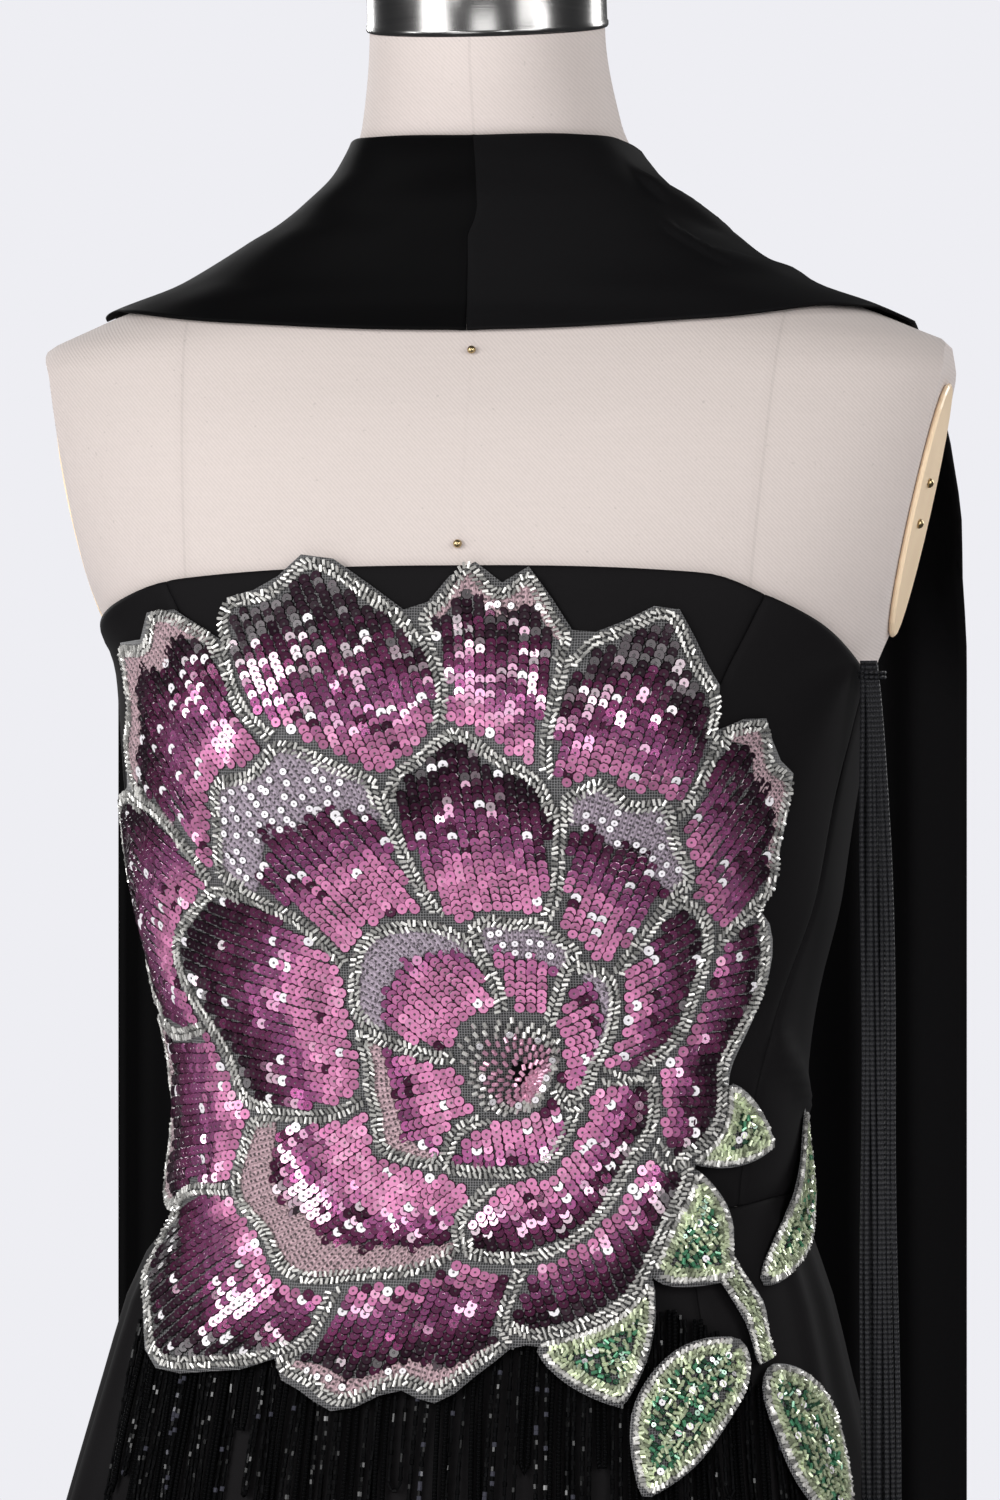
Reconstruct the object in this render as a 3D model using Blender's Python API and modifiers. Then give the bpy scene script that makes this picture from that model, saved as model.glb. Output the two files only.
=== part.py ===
"""Strapless evening gown with a sequined bloom, on a limbless dress form and its stand.

Metres, +Z up. The gown faces -Y. Left and right are the wearer's, so left is +X.
The origin is under the middle of the stand's base, on the floor.
A place on the body is a turn (0 at the centre front, 90 at the left side, 180 at the
centre back) and a height. A place on the applique is its distance along the cloth from
the centre front, and a height.
"""

import math

import bmesh
import bpy
import numpy as np
from mathutils import Matrix, Vector

NAME = "sequin_evening_gown"

# Driving dimensions
CLOTH = 0.002  # crepe over its boned lining
EASE = 0.0014  # from the form to the inside of the bodice
SEAM = 0.0003  # between pieces that meet
WAIST_SEAM = 0.0014  # wider, because both edges lean out towards it
WAIST = 1.040
HEM = 0.016
ZIP_END = 0.900
ZIP_HALF_WIDTH = 0.0025

APPLIQUE = 0.0016  # thickness of a beaded motif
APPLIQUE_GAP = 0.0016
WAIST_BRIDGE = 0.0040  # further, where a motif spans the hollow of the waist
FACET = 0.016  # the largest facet of a petal
RING_GAPS = (0.0003, 0.0012, 0.0022)  # inside each ring, whose facing edges are unlike scallops
FRINGE_THICKNESS = 0.004
FRINGE_GAP = 0.0006
FRINGE_END = 0.715

BUST_APEX = (0.079, 1.232)  # sideways from the centre, height
BUST_SPREAD = (0.058, 0.056)
BUST_OUT = 0.018

ARMHOLE_LOW = (0.1685, 1.280)  # sideways and height of the flat side, below and above
ARMHOLE_HIGH = (0.1970, 1.405)
NECK_TILT = math.radians(10)
NECK_TILT_FROM = 1.475
NECK_TOP = 1.540

BASE_RADIUS = 0.200
BASE_HEIGHT = 0.026
POLE_RADIUS = 0.0125
FORM_END = 0.800

SECTION = ("height", "half_width", "front", "back", "squareness")
FORM_ROWS = (
    (0.800, 0.156, -0.110, 0.118, 2.2),  # cut end of the form
    (0.860, 0.166, -0.117, 0.128, 2.2),  # hip
    (0.930, 0.157, -0.112, 0.121, 2.2),
    (1.000, 0.142, -0.101, 0.100, 2.2),
    (WAIST, 0.1318, -0.0955, 0.0885, 2.2),
    (1.090, 0.1338, -0.101, 0.092, 2.2),
    (1.130, 0.1405, -0.108, 0.098, 2.2),
    (1.170, 0.1498, -0.114, 0.105, 2.2),
    (1.235, 0.1585, -0.121, 0.114, 2.2),  # bust
    (1.265, 0.1630, -0.122, 0.117, 2.25),
    (1.285, 0.1710, -0.120, 0.1185, 2.25),
    (1.310, 0.1840, -0.115, 0.1195, 2.3),
    (1.340, 0.1960, -0.106, 0.1185, 2.3),
    (1.370, 0.2040, -0.094, 0.1145, 2.3),
    (1.395, 0.2075, -0.080, 0.106, 2.3),  # shoulder tips
    (1.406, 0.1995, -0.073, 0.100, 2.3),
    (1.414, 0.1825, -0.068, 0.095, 2.25),
    (1.421, 0.1660, -0.0645, 0.089, 2.2),
    (1.432, 0.1360, -0.062, 0.081, 2.1),
    (1.449, 0.1055, -0.061, 0.069, 2.0),
    (1.462, 0.0870, -0.062, 0.056, 2.0),
    (1.481, 0.0660, -0.068, 0.041, 2.0),  # neck
    (1.500, 0.0560, -0.077, 0.030, 2.0),
    (NECK_TOP, 0.0505, -0.087, 0.014, 2.0),
)
SKIRT_ROWS = (
    (HEM, 0.366, -0.322, 0.385, 2.1),
    (0.300, 0.316, -0.268, 0.318, 2.1),
    (0.600, 0.252, -0.207, 0.240, 2.15),
    (0.800, 0.203, -0.163, 0.181, 2.2),
    (0.905, 0.1745, -0.137, 0.146, 2.2),
    (0.950, 0.1625, -0.125, 0.128, 2.2),
    (1.000, 0.1490, -0.1085, 0.1065, 2.2),
)
GOWN_ROWS = SKIRT_ROWS + tuple(
    (height, half + EASE, front - EASE, back + EASE, squareness)
    for height, half, front, back, squareness in FORM_ROWS
    if height >= WAIST
)

SWAY = ("height", "sideways")  # the whole stands a little off its middle
SWAY_ROWS = (
    (0.900, -0.0100),
    (1.000, -0.0075),
    (WAIST, -0.0035),
    (1.090, -0.0030),
    (1.130, -0.0040),
    (1.180, -0.0040),
    (1.240, -0.0020),
    (1.275, 0.0),
    (1.393, 0.0),
    (1.404, -0.0025),
    (1.414, -0.0040),
    (1.449, -0.0045),
    (1.457, -0.0015),
    (1.464, 0.0),
)

FOLD_GROWTH = 1.1
FOLD = ("turn", "half_width", "rise_at_hem", "top")
FOLD_ROWS = (
    (-161, 8, 0.026, 0.98),
    (-138, 9, 0.022, 0.92),
    (-104, 8, 0.024, 0.97),
    (-83, 6, 0.017, 1.03),
    (-66, 6, 0.018, 1.00),
    (-28, 8, 0.024, 0.90),
    (-5, 7, 0.018, 0.84),
    (18, 9, 0.025, 0.88),
    (58, 7, 0.021, 0.98),
    (76, 5, 0.014, 1.01),
    (95, 8, 0.025, 0.96),
    (139, 9, 0.024, 0.94),
    (162, 8, 0.024, 0.98),
)

# Bodice seams, in turns from the centre front
BODICE_SEAM = ("height", "princess", "side", "back")
BODICE_SEAM_ROWS = (
    (1.035, 39, 57, 128),
    (1.120, 37, 65, 128),
    (1.190, 35, 73, 129),
    (1.240, 37, 75, 131),
    (1.310, 42, 79, 133),
)
BODICE_SEAM_NAMES = BODICE_SEAM[1:]
SKIRT_SEAMS = (42, 118)
SKIRT_STEPS = (18, 16, 13)  # columns across the front, a side and a back
SKIRT_LEVELS = (HEM, 0.22, 0.41, 0.58, 0.72, 0.855, ZIP_END, 0.945, 0.982, 1.011, WAIST)
BODICE_STEPS = 10

EDGE = ("turn", "neckline", "waist_seam")
EDGE_ROWS = (
    (-180, 1.256, 1.044),
    (-120, 1.263, 1.043),
    (-92, 1.276, 1.042),
    (-75, 1.286, 1.041),
    (-57, 1.2955, 1.038),
    (-38, 1.3035, 1.036),
    (0, 1.3075, 1.035),
    (30, 1.3045, 1.036),
    (42, 1.2960, 1.037),
    (54, 1.2865, 1.038),
    (71, 1.2705, 1.041),
    (90, 1.2540, 1.042),
    (125, 1.2500, 1.043),
    (180, 1.256, 1.044),
)

# The bloom, seen from below its open side, around its heart: direction 0 towards the left, 90 up
BLOOM_CENTRE = (0.030, 1.096)
REACH = ("direction", "reach")
REACH_ROWS = (
    (0, 0.088),
    (30, 0.136),
    (52, 0.183),
    (88, 0.204),
    (112, 0.226),
    (134, 0.264),
    (158, 0.258),
    (182, 0.208),
    (205, 0.212),
    (226, 0.186),
    (252, 0.142),
    (280, 0.120),
    (325, 0.086),
)
RING = ("name", "share", "scallop", "ripple", "bounds")  # bounds part the petals
RING_ROWS = (
    ("inner", 0.33, 0.13, 0.02, (-20, 62, 112, 162, 228)),
    ("middle", 0.67, 0.14, 0.03, (4, 47, 82, 115, 148, 188, 252)),
    ("outer", 1.00, 0.13, 0.03, (-28, 33, 60, 83, 104, 126, 149, 173, 201, 231, 271)),
)
CORE_SHARE = 0.12
CORE_LIFT = 0.0006
RING_LIFT = 0.0002  # each ring inward lies this much higher
SEPAL_GAP = 0.0008
SEPAL = ("first", "last", "length")
SEPAL_ROWS = (
    (276, 301, 0.030),
    (303, 329, 0.038),
    (332, 356, 0.026),
)

LEAF = ("name", "root_along", "root_height", "tip_along", "tip_height", "half_width", "bend", "lift")
LEAF_ROWS = (
    ("leaf_upper", 0.1400, 1.0060, 0.1800, 1.0760, 0.0140, -0.010, -0.0012),
    ("leaf_round", 0.1250, 0.9810, 0.0880, 0.9230, 0.0195, -0.006, 0.0),
    ("leaf_long", 0.1415, 0.9700, 0.1850, 0.8950, 0.0190, 0.010, 0.0),
)
STEM_POINTS = ((0.1193, 1.0095), (0.1330, 0.9940), (0.1395, 0.9750))
STEM_HALF_WIDTH = 0.0055
STEM_LIFT = -0.0006  # it lies flat on the fringe

FRINGE_TOP = ("turn", "height")
FRINGE_TOP_ROWS = ((-74, 0.976), (-52, 0.998), (-20, 1.010), (20, 1.008), (46, 0.990), (66, 0.905))
HANK_TURN = 71
HANK_TOP = 1.266
HANK_HALF_DEPTH = 0.0044
HANK_WIDTH = 0.0120
HANK_END = 0.640

SCARF_EDGE = ("turn", "lower", "upper")
SCARF_EDGE_ROWS = (
    (-90, 1.4185, 1.4905),
    (-76, 1.4205, 1.4925),
    (-62, 1.4190, 1.4940),
    (-30, 1.4125, 1.4945),
    (0, 1.4080, 1.4940),
    (30, 1.4125, 1.4945),
    (62, 1.4190, 1.4930),
    (76, 1.4190, 1.4900),
    (90, 1.4140, 1.4875),
)
SCARF_FOLD = ("front_height", "side_height", "half_width", "rise")
SCARF_FOLD_ROWS = (
    (1.481, 1.462, 0.007, 0.0035),
    (1.455, 1.440, 0.008, 0.0030),
    (1.428, 1.421, 0.005, 0.0020),
)
SCARF_GAP = 0.0010
TAIL_GAP = 0.0045  # from the back, whose roundness the tails span
TAIL_NECK_SIDE = 0.064
TAIL_INNER_SIDE = 0.096
TAIL_RIDGE_SIDES = {1: 0.178, -1: 0.173}  # left, right
TAIL_OUTER_SIDES = {1: 0.193, -1: 0.200}
TAIL_SPREAD = 0.080  # how far down they reach their full width
RIDGE_CLEAR = 0.00003
TAIL_ROUND = 0.032  # how far down the tails go in rounding the shoulder
TAIL_HANG = 0.138  # how far behind the middle a tail falls
TAIL_END = 0.640

LINEN = (0.66, 0.60, 0.48)
CREPE = (0.012, 0.012, 0.014)
STEEL = (0.62, 0.62, 0.63)
BLACK_STEEL = (0.03, 0.03, 0.032)
RESIN = (0.62, 0.50, 0.36)
BLACK_BEADS = (0.02, 0.02, 0.024)
PETAL_COLOURS = {
    "inner": (0.50, 0.16, 0.30),
    "middle": (0.26, 0.06, 0.15),
    "outer": (0.10, 0.02, 0.07),
}
CORE_COLOUR = (0.60, 0.30, 0.42)
LEAF_GREEN = (0.16, 0.34, 0.17)
STEM_GREEN = (0.42, 0.52, 0.33)


def read_rows(rows, where):
    """The other columns of a table at any value of its first column, with no overshoot."""
    table = np.array(rows, dtype=float)
    keys, values = table[:, 0], table[:, 1:]
    where = np.asarray(where, dtype=float)
    steps = np.diff(keys)
    slopes = np.diff(values, axis=0) / steps[:, None]
    product = slopes[1:] * slopes[:-1]
    total = np.where(product > 0, slopes[1:] + slopes[:-1], 1)
    tangents = np.zeros_like(values)
    tangents[1:-1] = np.where(product > 0, 2 * product / total, 0)
    first = np.clip(np.searchsorted(keys, where) - 1, 0, len(keys) - 2)
    step = steps[first]
    share = np.clip((where - keys[first]) / step, 0, 1)[..., None]
    step = step[..., None]
    near = values[first] * (1 + 2 * share) + tangents[first] * step * share
    far = values[first + 1] * (3 - 2 * share) - tangents[first + 1] * step * (1 - share)
    found = near * (1 - share) ** 2 + far * share**2
    return np.moveaxis(found, -1, 0)


def smooth_step(value):
    """0 below 0, 1 above 1, and a soft rise between."""
    value = np.clip(value, 0, 1)
    return value * value * (3 - 2 * value)


def section_point(rows, turn, height, ease=0.0):
    """A point on a body of superellipse sections, with the fullness of the bust."""
    half, front, back, squareness = read_rows(rows, height)
    angle = np.radians(turn)
    sine, cosine = np.sin(angle), np.cos(angle)
    power = 2 / squareness
    middle, depth = (front + back) / 2, (back - front) / 2
    x = half * np.sign(sine) * np.abs(sine) ** power
    y = middle - depth * np.sign(cosine) * np.abs(cosine) ** power
    sideways = (np.abs(x) - BUST_APEX[0]) / BUST_SPREAD[0]
    upwards = (height - BUST_APEX[1]) / BUST_SPREAD[1]
    y = y - BUST_OUT * smooth_step(cosine * 2.5) * np.exp(-(sideways**2) - upwards**2)
    rise = (height - ARMHOLE_LOW[1]) / (ARMHOLE_HIGH[1] - ARMHOLE_LOW[1])
    side = ARMHOLE_LOW[0] + (ARMHOLE_HIGH[0] - ARMHOLE_LOW[0]) * rise
    limit = np.where(rise > -0.3, side + ease, 1)
    x = np.clip(x, -limit, limit) + read_rows(SWAY_ROWS, height)[0]
    return np.stack([x, y, height + 0 * x], axis=-1)


def form_point(turn, height):
    """A point on the dress form. Its neck leans forward, so its rings tilt."""
    point = section_point(FORM_ROWS, turn, height)
    half, front, back, squareness = read_rows(FORM_ROWS, height)
    lean = smooth_step((height - NECK_TILT_FROM) / (NECK_TOP - NECK_TILT_FROM))
    point[..., 2] += (point[..., 1] - (front + back) / 2) * math.tan(NECK_TILT) * lean
    return point


def folds(turn, height):
    """How far the skirt's folds stand out."""
    out = 0 * turn + 0 * height
    for middle, half_width, rise, top in FOLD_ROWS:
        away = (turn - middle + 180) % 360 - 180
        grown = np.clip((top - height) / (top - HEM), 0, 1) ** FOLD_GROWTH
        out = out + rise * grown * np.exp(-((away / half_width) ** 2))
    return out


def gown_inside(turn, height):
    """A point on the inner face of the gown's cloth."""
    point = section_point(GOWN_ROWS, turn, height, EASE)
    outward = point[..., :2] / np.linalg.norm(point[..., :2], axis=-1, keepdims=True)
    point[..., :2] += outward * folds(turn, height)[..., None]
    return point


def moved_out(surface, turn, height, distance):
    """A point of a surface, moved along its normal."""
    turn, height = np.broadcast_arrays(np.asarray(turn, float), np.asarray(height, float))
    across = surface(turn + 0.5, height) - surface(turn - 0.5, height)
    upward = surface(turn, height + 0.002) - surface(turn, height - 0.002)
    normal = np.cross(across, upward)
    normal /= np.linalg.norm(normal, axis=-1, keepdims=True)
    return surface(turn, height) + normal * np.asarray(distance)[..., None]


def turn_at(along, height):
    """The turn of a place at a distance along the cloth from the centre front."""
    turns = np.arange(0, 151, 1.5)
    flat_height = np.ravel(height)[:, None]
    points = section_point(GOWN_ROWS, turns[None, :], flat_height + 0 * turns)
    lengths = np.linalg.norm(np.diff(points, axis=1), axis=-1)
    reached = np.concatenate([np.zeros((len(lengths), 1)), np.cumsum(lengths, axis=1)], axis=1)
    flat_along = np.ravel(along)
    found = [np.interp(abs(a), row, turns) for a, row in zip(flat_along, reached)]
    return (np.sign(flat_along) * np.array(found)).reshape(np.shape(along))


def applique_out(turn, height):
    """How far a motif lies outside the inner face: more where it hangs over the fringe."""
    fringe_top = read_rows(FRINGE_TOP_ROWS, turn)[0]
    over_fringe = smooth_step((fringe_top + 0.040 - height) / 0.032)
    bridge = WAIST_BRIDGE * (1 - over_fringe) * np.exp(-(((height - WAIST) / 0.022) ** 2))
    return CLOTH + APPLIQUE_GAP + over_fringe * FRINGE_THICKNESS + bridge


def on_gown(along, height, lift=0.0):
    """A point of the applique's back face."""
    turn = turn_at(along, height)
    return moved_out(gown_inside, turn, height, applique_out(turn, height) + lift)


def reach_of_bloom(direction):
    """The bloom's outline, from its centre."""
    rows = REACH_ROWS[-2:] + REACH_ROWS + REACH_ROWS[:2]
    laps = (-360,) * 2 + (0,) * len(REACH_ROWS) + (360,) * 2
    wrapped = tuple((row[0] + lap, row[1]) for row, lap in zip(rows, laps))
    return read_rows(wrapped, np.asarray(direction) % 360)[0]


def ring_edge(ring, direction):
    """The scalloped and rippled outer edge of a ring of petals. Ring -1 is the core."""
    direction = np.asarray(direction, dtype=float)
    if ring < 0:
        return CORE_SHARE * reach_of_bloom(direction)
    name, share, scallop, ripple, bounds = RING_ROWS[ring]
    lapped = (direction - bounds[0]) % 360 + bounds[0]
    place = np.interp(lapped, (*bounds, bounds[0] + 360), np.arange(len(bounds) + 1))
    petal, place = np.floor(place), place % 1
    round_tip = np.abs(np.sin(math.pi * place)) ** 0.6
    waves = np.sin(math.pi * place) * np.sin(2 * math.pi * place * (1.6 + petal % 2) + petal)
    return share * reach_of_bloom(direction) * (1 - scallop + scallop * round_tip + ripple * waves)


def bloom_place(direction, distance):
    """Distance along the cloth and height of a place on the bloom."""
    angle = np.radians(direction)
    along = BLOOM_CENTRE[0] + distance * np.cos(angle)
    height = BLOOM_CENTRE[1] + distance * np.sin(angle)
    return along, height


def link(obj):
    """Keep an object in the collection of the part only."""
    for collection in list(obj.users_collection):
        collection.objects.unlink(obj)
    bpy.data.collections[NAME].objects.link(obj)
    return obj


def finish(obj, name, colour, roughness, metallic=0.0):
    """Name an object and give it a plain material of its own."""
    obj.name = name
    obj.data.name = name
    material = bpy.data.materials.new(name)
    material.use_nodes = True
    shader = material.node_tree.nodes["Principled BSDF"]
    shader.inputs["Base Color"].default_value = (*colour, 1)
    shader.inputs["Roughness"].default_value = roughness
    shader.inputs["Metallic"].default_value = metallic
    obj.data.materials.clear()
    obj.data.materials.append(material)
    return link(obj)


def sheet(points):
    """An open mesh through a grid of points, its faces outward when rows x columns is."""
    rows, columns = points.shape[:2]
    mesh = bpy.data.meshes.new("sheet")
    quads = [
        (i * columns + j, (i + 1) * columns + j, (i + 1) * columns + j + 1, i * columns + j + 1)
        for i in range(rows - 1)
        for j in range(columns - 1)
    ]
    mesh.from_pydata(points.reshape(-1, 3).tolist(), [], quads)
    mesh.shade_smooth()
    return bpy.data.objects.new("sheet", mesh)


def walled(points, thickness):
    """A sheet thickened outward by Solidify."""
    obj = sheet(points)
    wall = obj.modifiers.new("wall", "SOLIDIFY")
    wall.thickness = thickness
    wall.offset = 1
    return obj


def lofted(rings):
    """A closed body through rings of points, with flat ends."""
    work = bmesh.new()
    loops = [[work.verts.new(point) for point in ring] for ring in rings]
    count = len(loops[0])
    for lower, upper in zip(loops, loops[1:]):
        for i in range(count):
            j = (i + 1) % count
            work.faces.new((lower[i], lower[j], upper[j], upper[i]))
    work.faces.new(loops[0])
    work.faces.new(loops[-1])
    bmesh.ops.recalc_face_normals(work, faces=work.faces)
    mesh = bpy.data.meshes.new("loft")
    work.to_mesh(mesh)
    work.free()
    mesh.shade_smooth()
    mesh.set_sharp_from_angle(angle=math.radians(50))
    return bpy.data.objects.new("loft", mesh)


def turned(profile, steps=32):
    """A body turned about Z from a profile that runs down its outer side."""
    mesh = bpy.data.meshes.new("turned")
    edges = [(i, i + 1) for i in range(len(profile) - 1)]
    mesh.from_pydata([(radius, 0, height) for radius, height in profile], edges, [])
    obj = bpy.data.objects.new("turned", mesh)
    screw = obj.modifiers.new("turn", "SCREW")
    screw.steps = steps
    screw.render_steps = steps
    screw.use_merge_vertices = True
    screw.merge_threshold = 0.0001
    return obj


def make_form():
    """The limbless linen form with its neck cap and armhole plates."""
    turns = np.arange(0, 360, 10.0)
    levels = np.concatenate([
        np.linspace(FORM_END, 1.000, 5),
        [1.022],
        np.arange(WAIST, 1.268, 0.0228),
        [1.273, 1.285, 1.297, 1.310, 1.340, 1.370, 1.393, 1.404, 1.412, 1.422, 1.434],
        [1.448, 1.462, 1.478, 1.495, 1.515, NECK_TOP],
    ])
    rings = [form_point(turns, np.full_like(turns, level)).tolist() for level in levels]
    finish(lofted(rings), "form_torso", LINEN, 0.85)

    half, front, back, squareness = read_rows(FORM_ROWS, NECK_TOP)
    cap = turned([(0, 0.030), (0.030, 0.029), (0.045, 0.025), (0.051, 0.019), (0.0515, 0), (0, 0)])
    finish(cap, "form_neck_cap", STEEL, 0.35, 1.0)
    axis = Vector((0, -math.sin(NECK_TILT), math.cos(NECK_TILT)))
    cap.rotation_euler = (NECK_TILT, 0, 0)
    cap.location = Vector((0, (front + back) / 2, NECK_TOP)) + axis * SEAM

    lean = math.atan2(ARMHOLE_HIGH[0] - ARMHOLE_LOW[0], ARMHOLE_HIGH[1] - ARMHOLE_LOW[1])
    centre_height = 1.335
    share = (centre_height - ARMHOLE_LOW[1]) / (ARMHOLE_HIGH[1] - ARMHOLE_LOW[1])
    centre_side = ARMHOLE_LOW[0] + share * (ARMHOLE_HIGH[0] - ARMHOLE_LOW[0])
    thickness = 0.0025
    for side, name in ((1, "left"), (-1, "right")):
        bpy.ops.mesh.primitive_cylinder_add(vertices=28, radius=1, depth=1)
        plate = bpy.context.object
        plate.data.transform(Matrix.Diagonal((0.040, 0.056, thickness, 1)))
        edge = plate.modifiers.new("edge", "BEVEL")
        edge.width = 0.0008
        edge.segments = 1
        edge.limit_method = "ANGLE"
        finish(plate, "form_armhole_plate_" + name, RESIN, 0.35)
        outward = Vector((side * math.cos(lean), 0, -math.sin(lean)))
        upward = Vector((side * math.sin(lean), 0, math.cos(lean)))
        forward = upward.cross(outward)
        axes = Matrix((forward, upward, forward.cross(upward))).transposed()
        plate.rotation_euler = axes.to_euler()
        plate.location = Vector((side * centre_side, 0.006, centre_height)) + outward * (
            SEAM + thickness / 2
        )


def make_stand():
    """The pole and the heavy round base that the whole stands on."""
    pole_bottom, pole_top = BASE_HEIGHT + SEAM, FORM_END - SEAM
    bpy.ops.mesh.primitive_cylinder_add(
        vertices=20, radius=POLE_RADIUS, depth=pole_top - pole_bottom
    )
    pole = finish(bpy.context.object, "form_pole", STEEL, 0.3, 1.0)
    pole.location.z = (pole_bottom + pole_top) / 2

    hub = POLE_RADIUS + 0.010
    profile = [(0, BASE_HEIGHT), (hub, BASE_HEIGHT), (hub + 0.006, 0.014)]
    profile += [(BASE_RADIUS - 0.006, 0.008), (BASE_RADIUS, 0.005), (BASE_RADIUS, 0), (0, 0)]
    finish(turned(profile, steps=40), "form_base", BLACK_STEEL, 0.4, 0.6)


def turn_behind(rows, sideways, height):
    """The turn of a place on the back, at a distance to the left side."""
    half, front, back, squareness = read_rows(rows, height)
    share = np.clip(sideways / half, 0, 1) ** (squareness / 2)
    return 180 - np.degrees(np.arcsin(share))


def back_edge(height):
    """The turn of the back pieces' edges: beside the zip, and below it a plain seam."""
    share = smooth_step((height - (ZIP_END - 0.045)) / 0.04)
    beside_zip = SEAM / 2 + share * (ZIP_HALF_WIDTH + SEAM / 2)
    return turn_behind(GOWN_ROWS, beside_zip, height)


def bodice_height(turn, share):
    """Up the bodice from its waist seam to the neckline."""
    neckline, waist_seam = read_rows(EDGE_ROWS, turn)
    bottom = waist_seam + WAIST_SEAM / 2
    return bottom + (neckline - bottom) * share


def skirt_height(turn, level):
    """Up the skirt from its hem, where the top level is the waist seam."""
    neckline, waist_seam = read_rows(EDGE_ROWS, turn)
    return HEM + (waist_seam - WAIST_SEAM / 2 - HEM) * (level - HEM) / (WAIST - HEM)


def make_bodice():
    """Centre front, and on each side a side front, a side and a back, cut to a neckline."""
    shares = np.linspace(0, 1, BODICE_STEPS + 1)
    nominal = BODICE_SEAM_ROWS[0][0] + shares * (BODICE_SEAM_ROWS[-1][0] - BODICE_SEAM_ROWS[0][0])
    seams = dict(zip(BODICE_SEAM_NAMES, read_rows(BODICE_SEAM_ROWS, nominal)))
    closing = back_edge(bodice_height(180, shares))
    gap = math.degrees(SEAM / 2 / 0.105)
    pieces = [("bodice_centre_front", -seams["princess"] + gap, seams["princess"] - gap, 10)]
    for side, name in ((1, "left"), (-1, "right")):
        spans = (
            ("bodice_side_front_", seams["princess"] + gap, seams["side"] - gap, 6),
            ("bodice_side_", seams["side"] + gap, seams["back"] - gap, 6),
            ("bodice_back_", seams["back"] + gap, closing, 5),
        )
        for prefix, near, far, steps in spans:
            low, high = sorted((side * near, side * far), key=lambda turns: turns[0])
            pieces.append((prefix + name, low, high, steps))
    for name, low, high, steps in pieces:
        across = np.linspace(0, 1, steps + 1)[:, None]
        turn = low[None, :] + (high - low)[None, :] * across
        points = gown_inside(turn, bodice_height(turn, shares[None, :]))
        finish(walled(points, CLOTH), name, CREPE, 0.6)


def make_skirt():
    """Front, two sides and two backs, falling in soft folds to the hem."""
    levels = np.array(SKIRT_LEVELS)
    gap = np.degrees(SEAM / 2 / 0.100)
    front, side_back = (0 * levels + seam for seam in SKIRT_SEAMS)
    closing = back_edge(skirt_height(180, levels))
    front_steps, side_steps, back_steps = SKIRT_STEPS
    pieces = [("skirt_front", -front + gap, front - gap, front_steps)]
    for side, name in ((1, "left"), (-1, "right")):
        spans = (("skirt_side_", front + gap, side_back - gap, side_steps),)
        spans += (("skirt_back_", side_back + gap, closing, back_steps),)
        for prefix, near, far, steps in spans:
            low, high = sorted((side * near, side * far), key=lambda turns: turns[0])
            pieces.append((prefix + name, low, high, steps))
    for name, low, high, steps in pieces:
        across = np.linspace(0, 1, steps + 1)[:, None]
        turn = low[None, :] + (high - low)[None, :] * across
        points = gown_inside(turn, skirt_height(turn, levels[None, :]))
        finish(walled(points, CLOTH), name, CREPE, 0.6)


def make_zip():
    """The closed zip down the centre back, with its slider at the top."""
    skirt_levels = np.array([level for level in SKIRT_LEVELS if ZIP_END <= level < WAIST])
    bodice_levels = bodice_height(180, np.linspace(0, 1, BODICE_STEPS + 1))
    levels = np.concatenate([skirt_height(180, skirt_levels), bodice_levels])
    top = levels[-1]
    half = 180 - turn_behind(GOWN_ROWS, ZIP_HALF_WIDTH, levels)
    turn = 180 + np.array([-1, 0, 1])[:, None] * half[None, :]
    height = np.broadcast_to(levels, turn.shape)
    finish(walled(gown_inside(turn, height), CLOTH), "back_zip", CREPE, 0.5)

    slider_height = top - 0.008
    middle = moved_out(gown_inside, 180, slider_height, CLOTH + SEAM + 0.0013)
    above = moved_out(gown_inside, 180, slider_height + 0.004, CLOTH + SEAM + 0.0013)
    rise = above - middle
    bpy.ops.mesh.primitive_cube_add(size=1)
    slider = bpy.context.object
    slider.data.transform(Matrix.Diagonal((0.0042, 0.0020, 0.0085, 1)))
    edge = slider.modifiers.new("edge", "BEVEL")
    edge.width = 0.0004
    edge.segments = 1
    finish(slider, "zip_slider", BLACK_STEEL, 0.4, 0.8)
    slider.location = middle
    slider.rotation_euler = (math.atan2(-rise[1], rise[2]), 0, 0)


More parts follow.
